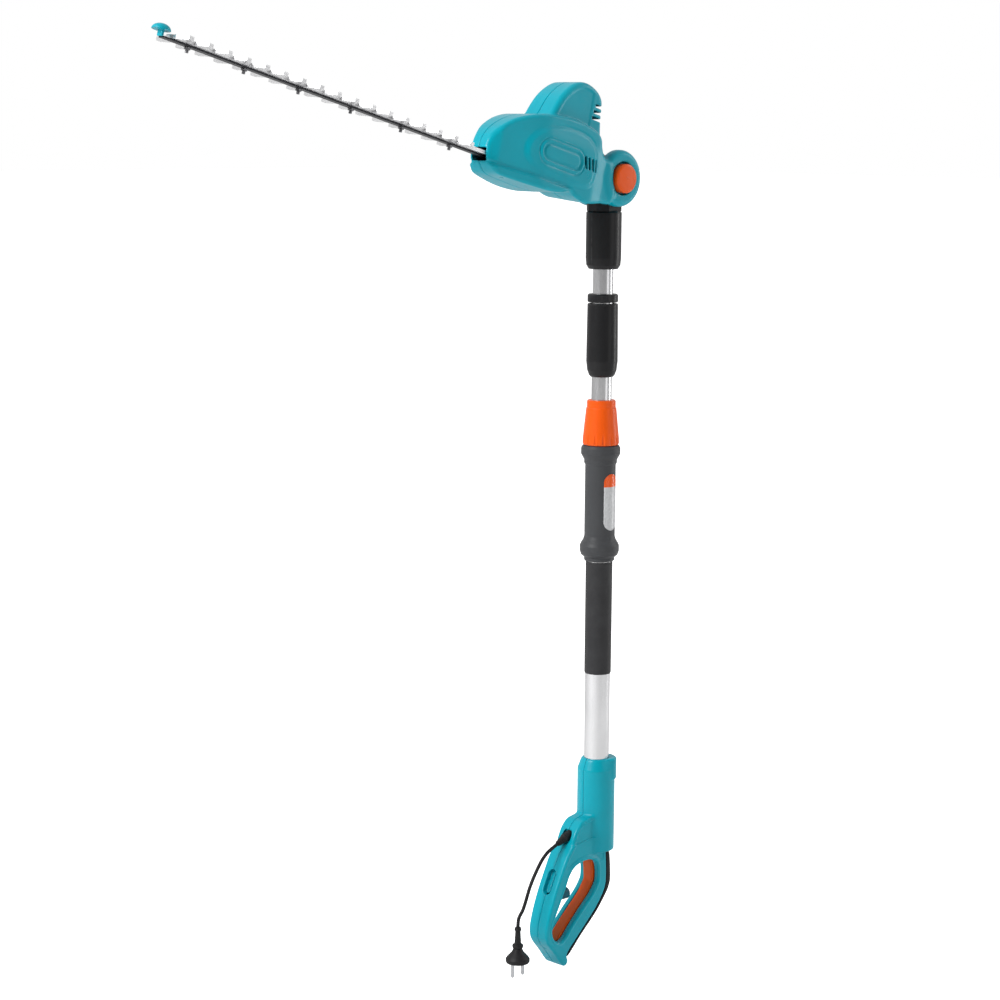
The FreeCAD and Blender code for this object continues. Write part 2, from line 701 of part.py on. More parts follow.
def knuckle_solid():
    """Tongue, neck and sleeve in one, standing on the pole."""
    half = value("tongue_half")
    pivot = value("pivot_height")
    bottom = value("knuckle_bottom")
    shoulder = pivot - 42
    tongue = cylinder_y(value("tongue_radius"), -half, half, 0, pivot)
    neck = box_between((-22, -half, shoulder - 1), (22, half, pivot - 5))
    neck = neck.common(Part.makeCylinder(23, 60, FreeCAD.Vector(0, 0, shoulder - 5)))
    profile = [(0, bottom), (19.5, bottom), (22.6, bottom + 5), (23.5, bottom + 14), (23.5, shoulder - 3),
               (20.5, shoulder), (0, shoulder)]
    wire = Part.makePolygon([FreeCAD.Vector(r, 0, level) for r, level in profile + profile[:1]])
    sleeve = Part.Face(wire).revolve(FreeCAD.Vector(), FreeCAD.Vector(0, 0, 1), 360)
    return sleeve.fuse([neck, tongue])


KNUCKLE_SCREWS = [(-18.2, 668), (18.2, 668), (-18.2, 622), (18.2, 622)]


def make_knuckle():
    pivot = value("pivot_height")
    bore = Part.makeCylinder(value("inner_tube_radius"), 52, FreeCAD.Vector(0, 0, value("knuckle_bottom") - 1))
    duct = Part.makeCylinder(6, 40, FreeCAD.Vector(0, 0, 650))
    pocket = cylinder_y(17, -30, -6, 0, pivot)
    tools = [bore, duct, pocket, cylinder_y(6.05, -30, 30, 0, pivot)]
    pieces = []
    for x, z in KNUCKLE_SCREWS:
        tools.append(cylinder_y(1.6, -8, 30, x, z))
        tools.append(cylinder_y(3, 9, 30, x, z))
        pieces.append(cylinder_y(1.5, -7.5, 9, x, z).fuse(cylinder_y(2.9, 9, 11.2, x, z)).removeSplitter())
    whole = knuckle_solid().cut(tools)
    for label, side in (("knuckle_right", 1), ("knuckle_left", -1)):
        half = whole.common(half_space(side))
        sub_part(feature(label, max(half.Solids, key=lambda solid: solid.Volume)), label)
    sub_part(feature("knuckle_screws", Part.makeCompound(pieces)), "knuckle_screws")


# ---------------------------------------------------------------- pole

def make_upper_pole():
    sub_part(ring("tube", "inner_tube_radius - inner_tube_wall", "inner_tube_radius", "coupling_joint + 5",
                  "knuckle_bottom + 51"), "upper_tube")
    spigot = [("inner_tube_radius", "coupling_joint + 5"), (10, "coupling_joint + 5"), (10, "coupling_joint + 0.2"),
              (17.2, "coupling_joint + 0.2"), (17.2, "coupling_joint + 16"), (17.5, "coupling_joint + 17"),
              (17.5, "coupling_top - 14"), ("inner_tube_radius", "coupling_top - 14")]
    sub_part(turned("spigot", spigot), "coupling_spigot")
    collar = [("inner_tube_radius", "coupling_top - 11"), (19.2, "coupling_top - 11"), (20.3, "coupling_top - 10"),
              (20.3, "coupling_top - 1.5"), (18.6, "coupling_top"), ("inner_tube_radius", "coupling_top")]
    sub_part(turned("collar", collar), "coupling_ring")


def make_coupling_nut():
    top = "coupling_top - 12.8"
    shell = [(13.7, "coupling_bottom"), (15, "coupling_bottom"), (17.2, "coupling_bottom + 2.5"),
             (19.6, "coupling_bottom + 9"), (21, "coupling_bottom + 21"), (20.3, f"{top} - 1"), (19.6, top),
             (17.6, top), (17.6, "coupling_joint - 6.3"), (16.1, "coupling_joint - 6.3"),
             (16.1, "coupling_bottom + 4"), (13.7, "coupling_bottom + 4")]
    sub_part(turned("nut", shell), "coupling_nut")


def make_inner_pole():
    sub_part(ring("tube", "inner_tube_radius - inner_tube_wall", "inner_tube_radius", -135, "coupling_joint - 1"),
             "inner_tube")
    socket = [("inner_tube_radius", "coupling_bottom + 5"), (16, "coupling_bottom + 5"), (16, "coupling_joint - 6"),
              (17.4, "coupling_joint - 6"), (17.4, "coupling_joint"), (9.5, "coupling_joint"),
              (9.5, "coupling_joint - 1"), ("inner_tube_radius", "coupling_joint - 1")]
    sub_part(turned("socket", socket), "coupling_socket")
    bore = "outer_tube_radius - outer_tube_wall - running_gap"
    sub_part(ring("bush", "inner_tube_radius", bore, -134, -104), "tube_bush")
    sub_part(feature("coiled_lead", coil(8, 2, -98, 470, 19)), "coiled_lead")


def make_outer_pole():
    sub_part(ring("tube", "outer_tube_radius - outer_tube_wall", "outer_tube_radius", -165, 395), "outer_tube")
    grip_hole = "inner_tube_radius + running_gap"
    collet = [("outer_tube_radius", 372), (19.4, 372), (19.4, 398), (18.4, 399), (16.2, 423), (grip_hole, 423),
              (grip_hole, 395.5), ("outer_tube_radius", 395.5)]
    slits = []
    for angle in (0, 60, 120):
        slit = doc.addObject("Part::Box", "Box")
        slit.Length = 50
        slit.Width = 1.6
        slit.Height = 30
        turn = FreeCAD.Rotation(FreeCAD.Vector(0, 0, 1), angle)
        slit.Placement = FreeCAD.Placement(FreeCAD.Vector(0, 0, 402) + turn.multVec(FreeCAD.Vector(-25, -0.8, 0)), turn)
        slits.append(slit)
    sub_part(cut(turned("collet", collet), *slits), "clamp_collet")
    low = "grip_top + 0.4"
    nut = [(19.5, low), (23.4, low), (24.3, "grip_top + 2"), (24.2, "grip_top + 9"), (20.2, "clamp_nut_top - 11"),
           (19.2, "clamp_nut_top - 9.5"), (19.2, "clamp_nut_top - 1.5"), (18, "clamp_nut_top"),
           (13.7, "clamp_nut_top"), (13.7, 424.5), (16.5, 424), (18.8, 400), (19.5, 399)]
    make_flutes(turned("nut", nut), low)


def make_flutes(nut, low):
    """Shallow finger flutes around the clamp nut."""
    flutes = []
    for step in range(14):
        angle = 2 * math.pi * step / 14
        flutes.append(rod(3, f"{low} - 1", "clamp_nut_top - 14", f"{26.4 * math.cos(angle)}",
                          f"{26.4 * math.sin(angle)}"))
    sub_part(cut(nut, *flutes), "clamp_nut")


def make_front_grip():
    bore = "outer_tube_radius"
    profile = [(bore, "grip_bottom - 6"), (19, "grip_bottom - 6"), (20.4, "grip_bottom - 4.5"),
               (20.4, "grip_bottom - 1"), (21.5, "grip_bottom"), (24.5, "grip_bottom + 2.5"),
               (26.4, "grip_bottom + 8"), (26.4, "grip_bottom + 15"), (24.6, "grip_bottom + 19"),
               (22, "grip_bottom + 23"), (20.5, "grip_bottom + 28"), (20.5, "grip_top - 27"),
               (22, "grip_top - 24"), (22, "grip_top - 20"), (23.6, "grip_top - 17"), (26.25, "grip_top - 12"),
               (26.25, "grip_top - 4"), (24.4, "grip_top - 1"), (22, "grip_top"), (bore, "grip_top")]
    badge = badge_outline()
    sub_part(cut(turned("grip", profile), common(badge, ring("skin", 19.6, 30, 240, 350))), "front_grip")
    sub_part(common(badge_outline(), ring("badge", 19.6, 21.1, 240, 350)), "grip_badge")
    sleeve = [(bore, "bare_half"), (17.4, "bare_half"), (18, "bare_half + 2"), (18, "grip_bottom - 7"),
              (bore, "grip_bottom - 7")]
    sub_part(turned("sleeve", sleeve), "grip_sleeve")


def badge_outline():
    """A plain stadium-shaped column that crosses the grip's button-side face."""
    middle = "(grip_bottom + grip_top) / 2 - 0.5"
    column = block((-11, -40, f"{middle} - 27"), (11, 0, f"{middle} + 27"))
    ends = [rod(11, -40, 0, 0, f"{middle} + {side}", "Y") for side in (27, -27)]
    return fuse(column, *ends)


# ---------------------------------------------------------------- rear handle

LOOP = [(-14, -128), (-42, -139), (-54, -151), (-60, -168), (-73, -183), (-84, -205), (-99, -235), (-108, -262),
        (-111, -283), (-107, -297), (-92, -314), (-79, -331.5), (-70, -331.5), (-70, -318), (-53, -300.5),
        (-33, -282.5), (-15, -265.5), (-1, -248), (5, -235), (6, -226), (5, -182), (14, -178), (14, -128)]
WINDOW = [(-37, -194.5), (-56, -199), (-67, -209), (-74, -223), (-86, -246), (-96, -265), (-100, -279), (-97, -290),
          (-88, -298.5), (-77, -294), (-64, -280.5), (-45, -262.5), (-25.5, -245.5), (-16, -234.5), (-11.5, -225),
          (-12.5, -206), (-20, -197)]
OVERMOULD = [(5, -192), (12.5, -192), (14.5, -226), (13, -236), (7.5, -246.5), (-8.5, -266), (-25, -281.5),
             (-43, -297), (-66, -318), (-70, -318), (-53, -300.5), (-33, -282.5), (-15, -265.5), (-1, -248),
             (5, -235), (6, -226)]
TRIGGER = [(-16, -201), (-14.5, -226), (-18.5, -235), (-28, -246.5), (-48, -264), (-68, -282), (-79, -293),
           (-74, -298), (-61, -288), (-42, -270), (-21, -250.5), (-8, -233), (-4.5, -224), (-6, -204), (-9, -197),
           (-13, -197)]
TRIGGER_PIVOT = (-10.5, -202)
TRIGGER_TRAVEL = 4
HANDLE_SCREWS = [(-46, -177, 3.6, 16), (-1.5, -190.5, 3.4, 16), (-103.4, -268, 3.2, 16), (-80, -311, 3.6, 15),
                 (21.3, -90, 3.2, 11)]
HANDLE_RECESS = 4
LOCK_HEIGHT = -237.5


def barrel_outer():
    radius = value("barrel_radius")
    top = -value("bare_half")
    bottom = value("barrel_bottom")
    profile = [(0, bottom), (radius - 3, bottom), (radius, bottom + 4), (radius, top - 27), (radius - 0.8, top - 26),
               (radius - 0.8, top - 15), (radius - 5, top - 2), (radius - 7, top), (0, top)]
    wire = Part.makePolygon([FreeCAD.Vector(r, 0, level) for r, level in profile + profile[:1]])
    return Part.Face(wire).revolve(FreeCAD.Vector(), FreeCAD.Vector(0, 0, 1), 360)


def loop_face(offset=0):
    """The loop seen from the side, with its window; a wall's offset gives the hollow inside."""
    outer = face_of(LOOP, 4)
    window = face_of(WINDOW, 4)
    if offset:
        outer = outer.makeOffset2D(-offset, 0, False, False, False)
        window = window.makeOffset2D(offset, 0, False, False, False)
    return outer, window


def turned_over(shape):
    """The same shape driven in from the other side of the handle."""
    return shape.mirror(FreeCAD.Vector(), FreeCAD.Vector(0, 1, 0))


def make_handle_shells():
    half = value("handle_half")
    wall = value("handle_wall")
    outer, window = loop_face()
    loop = soft_slab(outer, half, 4).cut(spread(window, half + 5))
    inner_outer, inner_window = loop_face(wall)
    hollow = spread(inner_outer, half - wall).cut(spread(inner_window, half))
    tube = Part.makeCylinder(value("outer_tube_radius"), 120, FreeCAD.Vector(0, 0, -165))
    tube_wall = Part.makeCylinder(value("outer_tube_radius") + 2.4, 102, FreeCAD.Vector(0, 0, -167))
    chamber = Part.makeCylinder(value("barrel_radius") - wall, 116, FreeCAD.Vector(0, 0, value("barrel_bottom") + wall))
    seat = Part.makeCylinder(value("outer_tube_radius") - 2, 3, FreeCAD.Vector(0, 0, -168))
    cavity = chamber.fuse(hollow).cut(tube_wall).fuse([tube, seat])
    whole = barrel_outer().fuse(loop)
    posts = [post.common(whole) for post in bosses(HANDLE_SCREWS)]
    tools = [turned_over(hole) for hole in screw_holes(HANDLE_SCREWS, HANDLE_RECESS)] + handle_openings()
    casing = whole.cut(cavity).fuse(posts).cut(tools + [tube])
    for label, side in (("handle_shell_right", 1), ("handle_shell_left", -1)):
        shell = casing.common(half_space(side))
        sub_part(feature(label, max(shell.Solids, key=lambda solid: solid.Volume)), label)
    sub_part(feature("handle_screws", turned_over(screws(HANDLE_SCREWS, HANDLE_RECESS))), "handle_screws")


def trigger_solid(grow=0.0):
    face = face_of(TRIGGER, 2)
    if grow:
        face = face.makeOffset2D(grow, 0, False, False, False)
    return spread(face, value("trigger_half") + grow)


def pressed(shape, degrees):
    """A trigger shape turned about its pin towards the grip."""
    moved = shape.copy()
    x, z = TRIGGER_PIVOT
    moved.rotate(FreeCAD.Vector(x, 0, z), FreeCAD.Vector(0, -1, 0), degrees)
    return moved


def handle_openings():
    """Openings of the trigger, the lock button, the cord slot and the cable boot."""
    swept = [pressed(trigger_solid(0.5), TRIGGER_TRAVEL * step / 4) for step in range(5)]
    knob_hole = Part.makeCylinder(5.7, 14, FreeCAD.Vector(-92, 0, LOCK_HEIGHT), FreeCAD.Vector(1, 0, 0))
    pin_hole = cylinder_y(1.6, -14, 14, *TRIGGER_PIVOT)
    boot_hole = Part.makeCylinder(7.1, 45, boot_start(), boot_direction())
    return swept + [knob_hole, pin_hole, boot_hole, cord_slot()]


def cord_slot():
    """A slot in the outer wall of the cable arm, where the extension lead is hooked in."""
    slot = box_between((-12, -7.2, -14), (0, 7.2, 14))
    ends = [Part.makeCylinder(7.2, 12, FreeCAD.Vector(-12, 0, z), FreeCAD.Vector(1, 0, 0)) for z in (-14, 14)]
    slot = slot.fuse(ends)
    slot.rotate(FreeCAD.Vector(), FreeCAD.Vector(0, 1, 0), 24)
    slot.translate(FreeCAD.Vector(-87, 0, -221))
    return slot


def boot_start():
    return FreeCAD.Vector(-46, 0, -155)


def boot_direction():
    return FreeCAD.Vector(-0.93, 0, -0.37).normalize()


def make_trigger_group():
    x, z = TRIGGER_PIVOT
    lever = trigger_solid().cut(cylinder_y(1.6, -20, 20, x, z))
    sub_part(feature("trigger", lever), "trigger")
    sub_part(feature("trigger_pin", cylinder_y(1.55, -13.8, 13.8, x, z)), "trigger_pin")
    across_grip = FreeCAD.Rotation(FreeCAD.Vector(0, 0, 1), FreeCAD.Vector(0.69, 0, -0.72))
    spring = feature("trigger_spring", coil(3.2, 0.5, 0.6, 11.4, 5), across_grip, (-31.5, 0, -260.3))
    sub_part(spring, "trigger_spring")
    case = box_between((-1.6, -5, -224), (2.6, 5, -204))
    lever_arm = box_between((-2.9, -2, -221), (-1.6, 2, -211))
    sub_part(feature("microswitch", case.fuse(lever_arm)), "microswitch")
    cover = spread(Part.Face(Part.makePolygon([FreeCAD.Vector(a, 0, b) for a, b in OVERMOULD + OVERMOULD[:1]])), 15.5)
    sub_part(feature("grip_overmould", cover.cut(loop_solid_guard())), "grip_overmould")


def loop_solid_guard():
    """The casing's own outline, taken away from the soft back of the grip so that the two only touch."""
    outer, window = loop_face()
    return spread(outer, 40)


def make_lock_button():
    knob = [(0, -92), (6.6, -92), (6.6, -90.6), (5.6, -90.6), (5.6, -72), (7.2, -72), (8, -71), (8, -57.4),
            (7, -55.8), (4, -55.4), (0, -55.4)]
    sub_part(turned("knob", knob, (0, 0, LOCK_HEIGHT), ALONG_X), "lock_button")
    spring = feature("lock_spring", coil(3.6, 0.5, -97.2, -92.1, 3), ALONG_X, (0, 0, LOCK_HEIGHT))
    sub_part(spring, "lock_spring")


def make_cable():
    direction = boot_direction()
    turn = FreeCAD.Rotation(FreeCAD.Vector(0, 0, 1), direction)
    radius = "cable_radius"
    profile = [(radius, 4), (5.6, 4), (5.6, 14), (6.1, 15), (6.1, 17.5), (5.2, 18.5)]
    for step in range(3):
        level = 20 + 3.2 * step
        profile += [(5.2 - 0.4 * step, level), (4.5 - 0.4 * step, level + 0.7), (4.5 - 0.4 * step, level + 1.6),
                    (5 - 0.4 * step, level + 2.3)]
    profile += [(3.4, 31), (radius, 31)]
    start = boot_start()
    boot = turned("boot", profile, (start.x, start.y, start.z), turn)
    sub_part(boot, "strain_relief")
    leave = start + direction * 32
    enter = FreeCAD.Vector(value("plug_x"), 0, -266)
    end = FreeCAD.Vector(value("plug_x"), 0, -284)
    curve = Part.BSplineCurve()
    sweep = [leave, FreeCAD.Vector(-96, 0, -176), FreeCAD.Vector(-114, 0, -195), FreeCAD.Vector(-129, 0, -220),
             FreeCAD.Vector(-142, 0, -247), enter]
    curve.interpolate(sweep, InitialTangent=direction, FinalTangent=FreeCAD.Vector(0, 0, -1))
    first = Part.makeLine(start, leave)
    last = Part.makeLine(enter, end)
    spine = Part.Wire([first, curve.toShape(), last])
    section = Part.Wire(Part.makeCircle(value("cable_radius"), start, direction))
    sub_part(feature("power_cable", spine.makePipeShell([section], True, False)), "power_cable")


def make_plug():
    at = ("plug_x", 0, 0)
    shape = [(0, -284), (4.2, -284), (4.2, -276), (5.4, -276), (5.4, -284)]
    profile = [(0, -284), ("cable_radius", -284), ("cable_radius", -266), (3.9, -266), (4.6, -268), (4.6, -270),
               (3.6, -271.5), (4.6, -288.5), (7, -289.5), (7.6, -291.5), (7, -293.5), (6, -295), (8, -299.5),
               (14, -306), (16.2, -309), (16.2, -312.5), (15, -314.5), (0, -314.5)]
    body = turned("plug", profile, at)
    pins = []
    holes = []
    for side in (-1, 1):
        x = f"plug_x + {side} * pin_spacing / 2"
        pins.append(fuse(rod("pin_radius", -332, -314.5, x), rod(1.6, -333.5, -332, x), rod(1.9, -314.5, -306, x)))
        holes.append(rod(1.9, -320, -306, x))
    sub_part(cut(body, *holes), "mains_plug")
    sub_part(group(*pins), "plug_pins")


def finish():
    """Stop on any failed piece, then write every node's solid."""
    doc.recompute()
    for obj in doc.Objects:
        if "Invalid" in obj.State or "Error" in obj.State:
            raise SystemExit(f"{obj.Name} ({obj.Label}) failed: {obj.State}")
    for node in nodes:
        if node.Shape.isNull() or not node.Shape.isValid() or not node.Shape.Solids:
            raise SystemExit(f"{node.Label} has no valid solid")
    os.makedirs("parts", exist_ok=True)
    for node in nodes:
        node.Shape.exportStep(f"parts/{node.Label}.step")


make_head_shells()
make_gears()
make_crankshaft()
make_gearbox()
make_motor()
make_cutter()
make_tilt_button()
make_knuckle()
make_upper_pole()
make_coupling_nut()
make_inner_pole()
make_outer_pole()
make_front_grip()
make_handle_shells()
make_trigger_group()
make_lock_button()
make_cable()
make_plug()
finish()
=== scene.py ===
"""Looks of a corded pole hedge trimmer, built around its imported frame.

Metres, +Z up the pole, cutter towards -X, tilt button towards -Y. Moulded shells are drawn as signed
distances in millimetres (negative inside) and turned into meshes; the other pieces keep their frame shape.
"""
import bpy
import json
import math
import numpy as np
from mathutils import Matrix, Vector


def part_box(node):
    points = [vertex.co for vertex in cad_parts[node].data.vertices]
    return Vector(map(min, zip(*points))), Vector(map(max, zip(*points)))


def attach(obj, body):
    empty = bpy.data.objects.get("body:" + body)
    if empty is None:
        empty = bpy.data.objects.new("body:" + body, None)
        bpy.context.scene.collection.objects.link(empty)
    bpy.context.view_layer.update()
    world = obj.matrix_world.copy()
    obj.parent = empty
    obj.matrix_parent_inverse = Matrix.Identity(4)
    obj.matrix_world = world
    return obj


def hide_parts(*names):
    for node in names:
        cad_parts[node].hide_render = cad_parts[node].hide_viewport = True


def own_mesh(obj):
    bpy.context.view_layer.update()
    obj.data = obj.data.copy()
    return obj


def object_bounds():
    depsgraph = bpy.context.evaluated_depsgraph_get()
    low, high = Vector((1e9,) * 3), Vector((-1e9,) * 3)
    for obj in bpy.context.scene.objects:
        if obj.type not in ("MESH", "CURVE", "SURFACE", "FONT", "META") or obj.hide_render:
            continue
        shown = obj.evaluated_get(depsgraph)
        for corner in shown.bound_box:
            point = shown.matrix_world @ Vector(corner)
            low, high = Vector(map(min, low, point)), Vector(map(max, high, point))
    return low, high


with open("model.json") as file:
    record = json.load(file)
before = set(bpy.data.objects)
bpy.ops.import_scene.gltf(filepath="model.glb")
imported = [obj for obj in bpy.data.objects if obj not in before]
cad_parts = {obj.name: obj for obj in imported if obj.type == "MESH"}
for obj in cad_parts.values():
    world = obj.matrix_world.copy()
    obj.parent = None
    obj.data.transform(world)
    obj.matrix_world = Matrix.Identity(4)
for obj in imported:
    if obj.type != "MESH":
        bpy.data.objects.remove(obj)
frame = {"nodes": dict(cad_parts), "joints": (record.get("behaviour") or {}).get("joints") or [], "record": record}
cad_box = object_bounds()

MM = 0.001
FINE = 1.0
NODES = frame["nodes"]
JOINTS = {joint["name"]: joint for joint in frame["joints"]}


# ---------------------------------------------------------------- places read from the frame

PIVOT = Vector(JOINTS["head_tilt"]["pos_m"])
FORWARD = Vector(JOINTS["upper_blade_slide"]["axis"])
UPWARD = Vector(JOINTS["crankshaft_spin"]["axis"])
HEAD = Matrix((
    (FORWARD.x, 0, UPWARD.x, PIVOT.x),
    (FORWARD.y, -1, UPWARD.y, PIVOT.y),
    (FORWARD.z, 0, UPWARD.z, PIVOT.z),
    (0, 0, 0, 1)))
POLE = Matrix.Identity(4)


# ---------------------------------------------------------------- signed distance drawing

class Samples:
    """A box of sample points, in millimetres of the piece's own frame."""

    def __init__(self, low, high, step):
        self.step = step
        self.axes = [np.arange(a, b + step, step, dtype=np.float32) for a, b in zip(low, high)]
        self.x, self.y, self.z = np.meshgrid(*self.axes, indexing="ij", sparse=True)


def through(points, steps=6):
    """A smooth closed curve through points. A point given twice in a row stays a corner."""
    count = len(points)
    curve = []
    for index in range(count):
        before, here, there, after = (np.array(points[(index + k) % count], float) for k in (-1, 0, 1, 2))
        if np.allclose(here, there):
            curve.append(here)
            continue
        for k in range(steps):
            s = k / steps
            curve.append(0.5 * ((2 * here) + (there - before) * s
                                + (2 * before - 5 * here + 4 * there - after) * s * s
                                + (3 * here - before - 3 * there + after) * s ** 3))
    return curve


def outline(points, a, b):
    """Signed distance from a closed outline in a plane whose coordinates are a and b."""
    a, b = np.broadcast_arrays(a, b)
    nearest = np.full(a.shape, 1e9, np.float32)
    inside = np.zeros(a.shape, bool)
    following = points[1:] + points[:1]
    for (pa, pb), (qa, qb) in zip(points, following):
        ea, eb = qa - pa, qb - pb
        length = ea * ea + eb * eb
        if length < 1e-9:
            continue
        along = np.clip(((a - pa) * ea + (b - pb) * eb) / length, 0, 1)
        nearest = np.minimum(nearest, (a - pa - along * ea) ** 2 + (b - pb - along * eb) ** 2)
        if abs(eb) > 1e-9:
            inside ^= ((pb > b) != (qb > b)) & (a < ea * (b - pb) / eb + pa)
    return np.where(inside, -1, 1) * np.sqrt(nearest)


def stadium(a, b, centre, half_length, radius, lean=0.0):
    """Signed distance from a rounded slot shape; lean turns its long axis, in degrees."""
    c, s = math.cos(math.radians(lean)), math.sin(math.radians(lean))
    u = (a - centre[0]) * c + (b - centre[1]) * s
    v = (b - centre[1]) * c - (a - centre[0]) * s
    return np.sqrt(np.maximum(np.abs(u) - half_length, 0) ** 2 + v * v) - radius


def ease(value, start, end):
    """0 before start, 1 after end, smooth between."""
    t = np.clip((value - start) / (end - start), 0, 1)
    return t * t * (3 - 2 * t)


def spread(flat, across, half, edge):
    """A flat shape given a thickness across, with rounded rims."""
    p, q = flat + edge, across - half + edge
    return np.minimum(np.maximum(p, q), 0) + np.sqrt(np.maximum(p, 0) ** 2 + np.maximum(q, 0) ** 2) - edge


def box(points, low, high, edge=0.5):
    """Signed distance from a box with slightly rounded edges."""
    gaps = []
    for value, a, b in zip((points.x, points.y, points.z), low, high):
        gaps.append(np.abs(value - (a + b) / 2) - (b - a) / 2 + edge)
    outside = sum(np.maximum(gap, 0) ** 2 for gap in gaps)
    inside = np.minimum(np.maximum(np.maximum(gaps[0], gaps[1]), gaps[2]), 0)
    return np.sqrt(outside) + inside - edge


def join(a, b, soft):
    """Union with a fillet."""
    t = np.clip(0.5 + 0.5 * (b - a) / soft, 0, 1)
    return b * (1 - t) + a * t - soft * t * (1 - t)


def carve(a, b, soft=0.4):
    """a with b taken out, its new edges softened."""
    return -join(-a, b, soft)


def corner_values(field):
    """The eight corner values of every cell."""
    cuts = (slice(None, -1), slice(1, None))
    return {(i, j, k): field[cuts[i], cuts[j], cuts[k]] for i in (0, 1) for j in (0, 1) for k in (0, 1)}


def surface(points, field):
    """Vertices and quads of the zero surface of a sampled field."""
    corners = corner_values(field)
    negative = sum((value < 0).astype(np.int8) for value in corners.values())
    mixed = (negative > 0) & (negative < 8)
    cells = np.argwhere(mixed)
    number = np.full(mixed.shape, -1, np.int32)
    number[mixed] = np.arange(len(cells))
    total = np.zeros((len(cells), 3), np.float32)
    crossings = np.zeros(len(cells), np.float32)
    values = {key: value[mixed] for key, value in corners.items()}
    for start in values:
        for axis in range(3):
            if start[axis]:
                continue
            end = tuple(1 if index == axis else start[index] for index in range(3))
            a, b = values[start], values[end]
            hit = (a < 0) != (b < 0)
            share = np.where(hit, a / np.where(hit, a - b, 1), 0)
            for index in range(3):
                total[:, index] += hit * (start[index] + (share if index == axis else 0))
            crossings += hit
    origin = np.array([axis[0] for axis in points.axes])
    vertices = (cells + total / crossings[:, None]) * points.step + origin
    quads = []
    for axis in range(3):
        low = [slice(1, -1)] * 3
        high = list(low)
        low[axis] = slice(0, -1)
        high[axis] = slice(1, None)
        first, second = field[tuple(low)] < 0, field[tuple(high)] < 0
        others = [index for index in range(3) if index != axis]
        for wanted, turn in ((first & ~second, 1), (~first & second, -1)):
            at = np.argwhere(wanted)
            for index in others:
                at[:, index] += 1
            ring = []
            for step_a, step_b in ((0, 0), (1, 0), (1, 1), (0, 1)):
                cell = at.copy()
                cell[:, others[0]] -= step_a
                cell[:, others[1]] -= step_b
                ring.append(number[cell[:, 0], cell[:, 1], cell[:, 2]])
            faces = np.stack(ring, 1)
            flip = turn if axis != 1 else -turn
            quads.append(faces if flip > 0 else faces[:, ::-1])
    return vertices, np.concatenate(quads)


def between(grid, cell, part):
    """Values of a grid at places inside its cells, weighted between each cell's corners."""
    result = 0
    for i in (0, 1):
        for j in (0, 1):
            for k in (0, 1):
                weight = abs(1 - i - part[:, 0]) * abs(1 - j - part[:, 1]) * abs(1 - k - part[:, 2])
                result = result + weight * grid[cell[:, 0] + i, cell[:, 1] + j, cell[:, 2] + k]
    return result


def settle(points, field, vertices):
    """Moves vertices onto the zero surface along the field's slope."""
    slopes = np.gradient(field, points.step)
    origin = np.array([axis[0] for axis in points.axes])
    limit = np.array(field.shape) - 1.001
    for _ in range(2):
        place = np.clip((vertices - origin) / points.step, 0, limit)
        cell = place.astype(int)
        part = (place - cell).astype(np.float32)
        value = between(field, cell, part)
        slope = np.stack([between(grid, cell, part) for grid in slopes], 1)
        size = np.maximum((slope ** 2).sum(1), 0.25)
        step = np.clip(value / size, -0.3 * points.step, 0.3 * points.step)
        vertices = vertices - step[:, None] * slope
    return vertices


def moulded(name, points, field, place, body, slot, replaced):
    """A mesh piece from a sampled field, riding its body in place of a frame node."""
    field = field.astype(np.float32)
    vertices, quads = surface(points, field)
    vertices = settle(points, field, vertices)
    mesh = bpy.data.meshes.new(name)
    mesh.from_pydata((vertices * MM).tolist(), [], quads.tolist())
    mesh.transform(place)
    if place.determinant() < 0:
        mesh.flip_normals()
    mesh.validate()
    mesh.shade_smooth()
    mesh.materials.append(LOOKS[slot])
    piece = bpy.data.objects.new(name, mesh)
    bpy.context.scene.collection.objects.link(piece)
    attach(piece, body)
    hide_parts(replaced)


# ---------------------------------------------------------------- materials

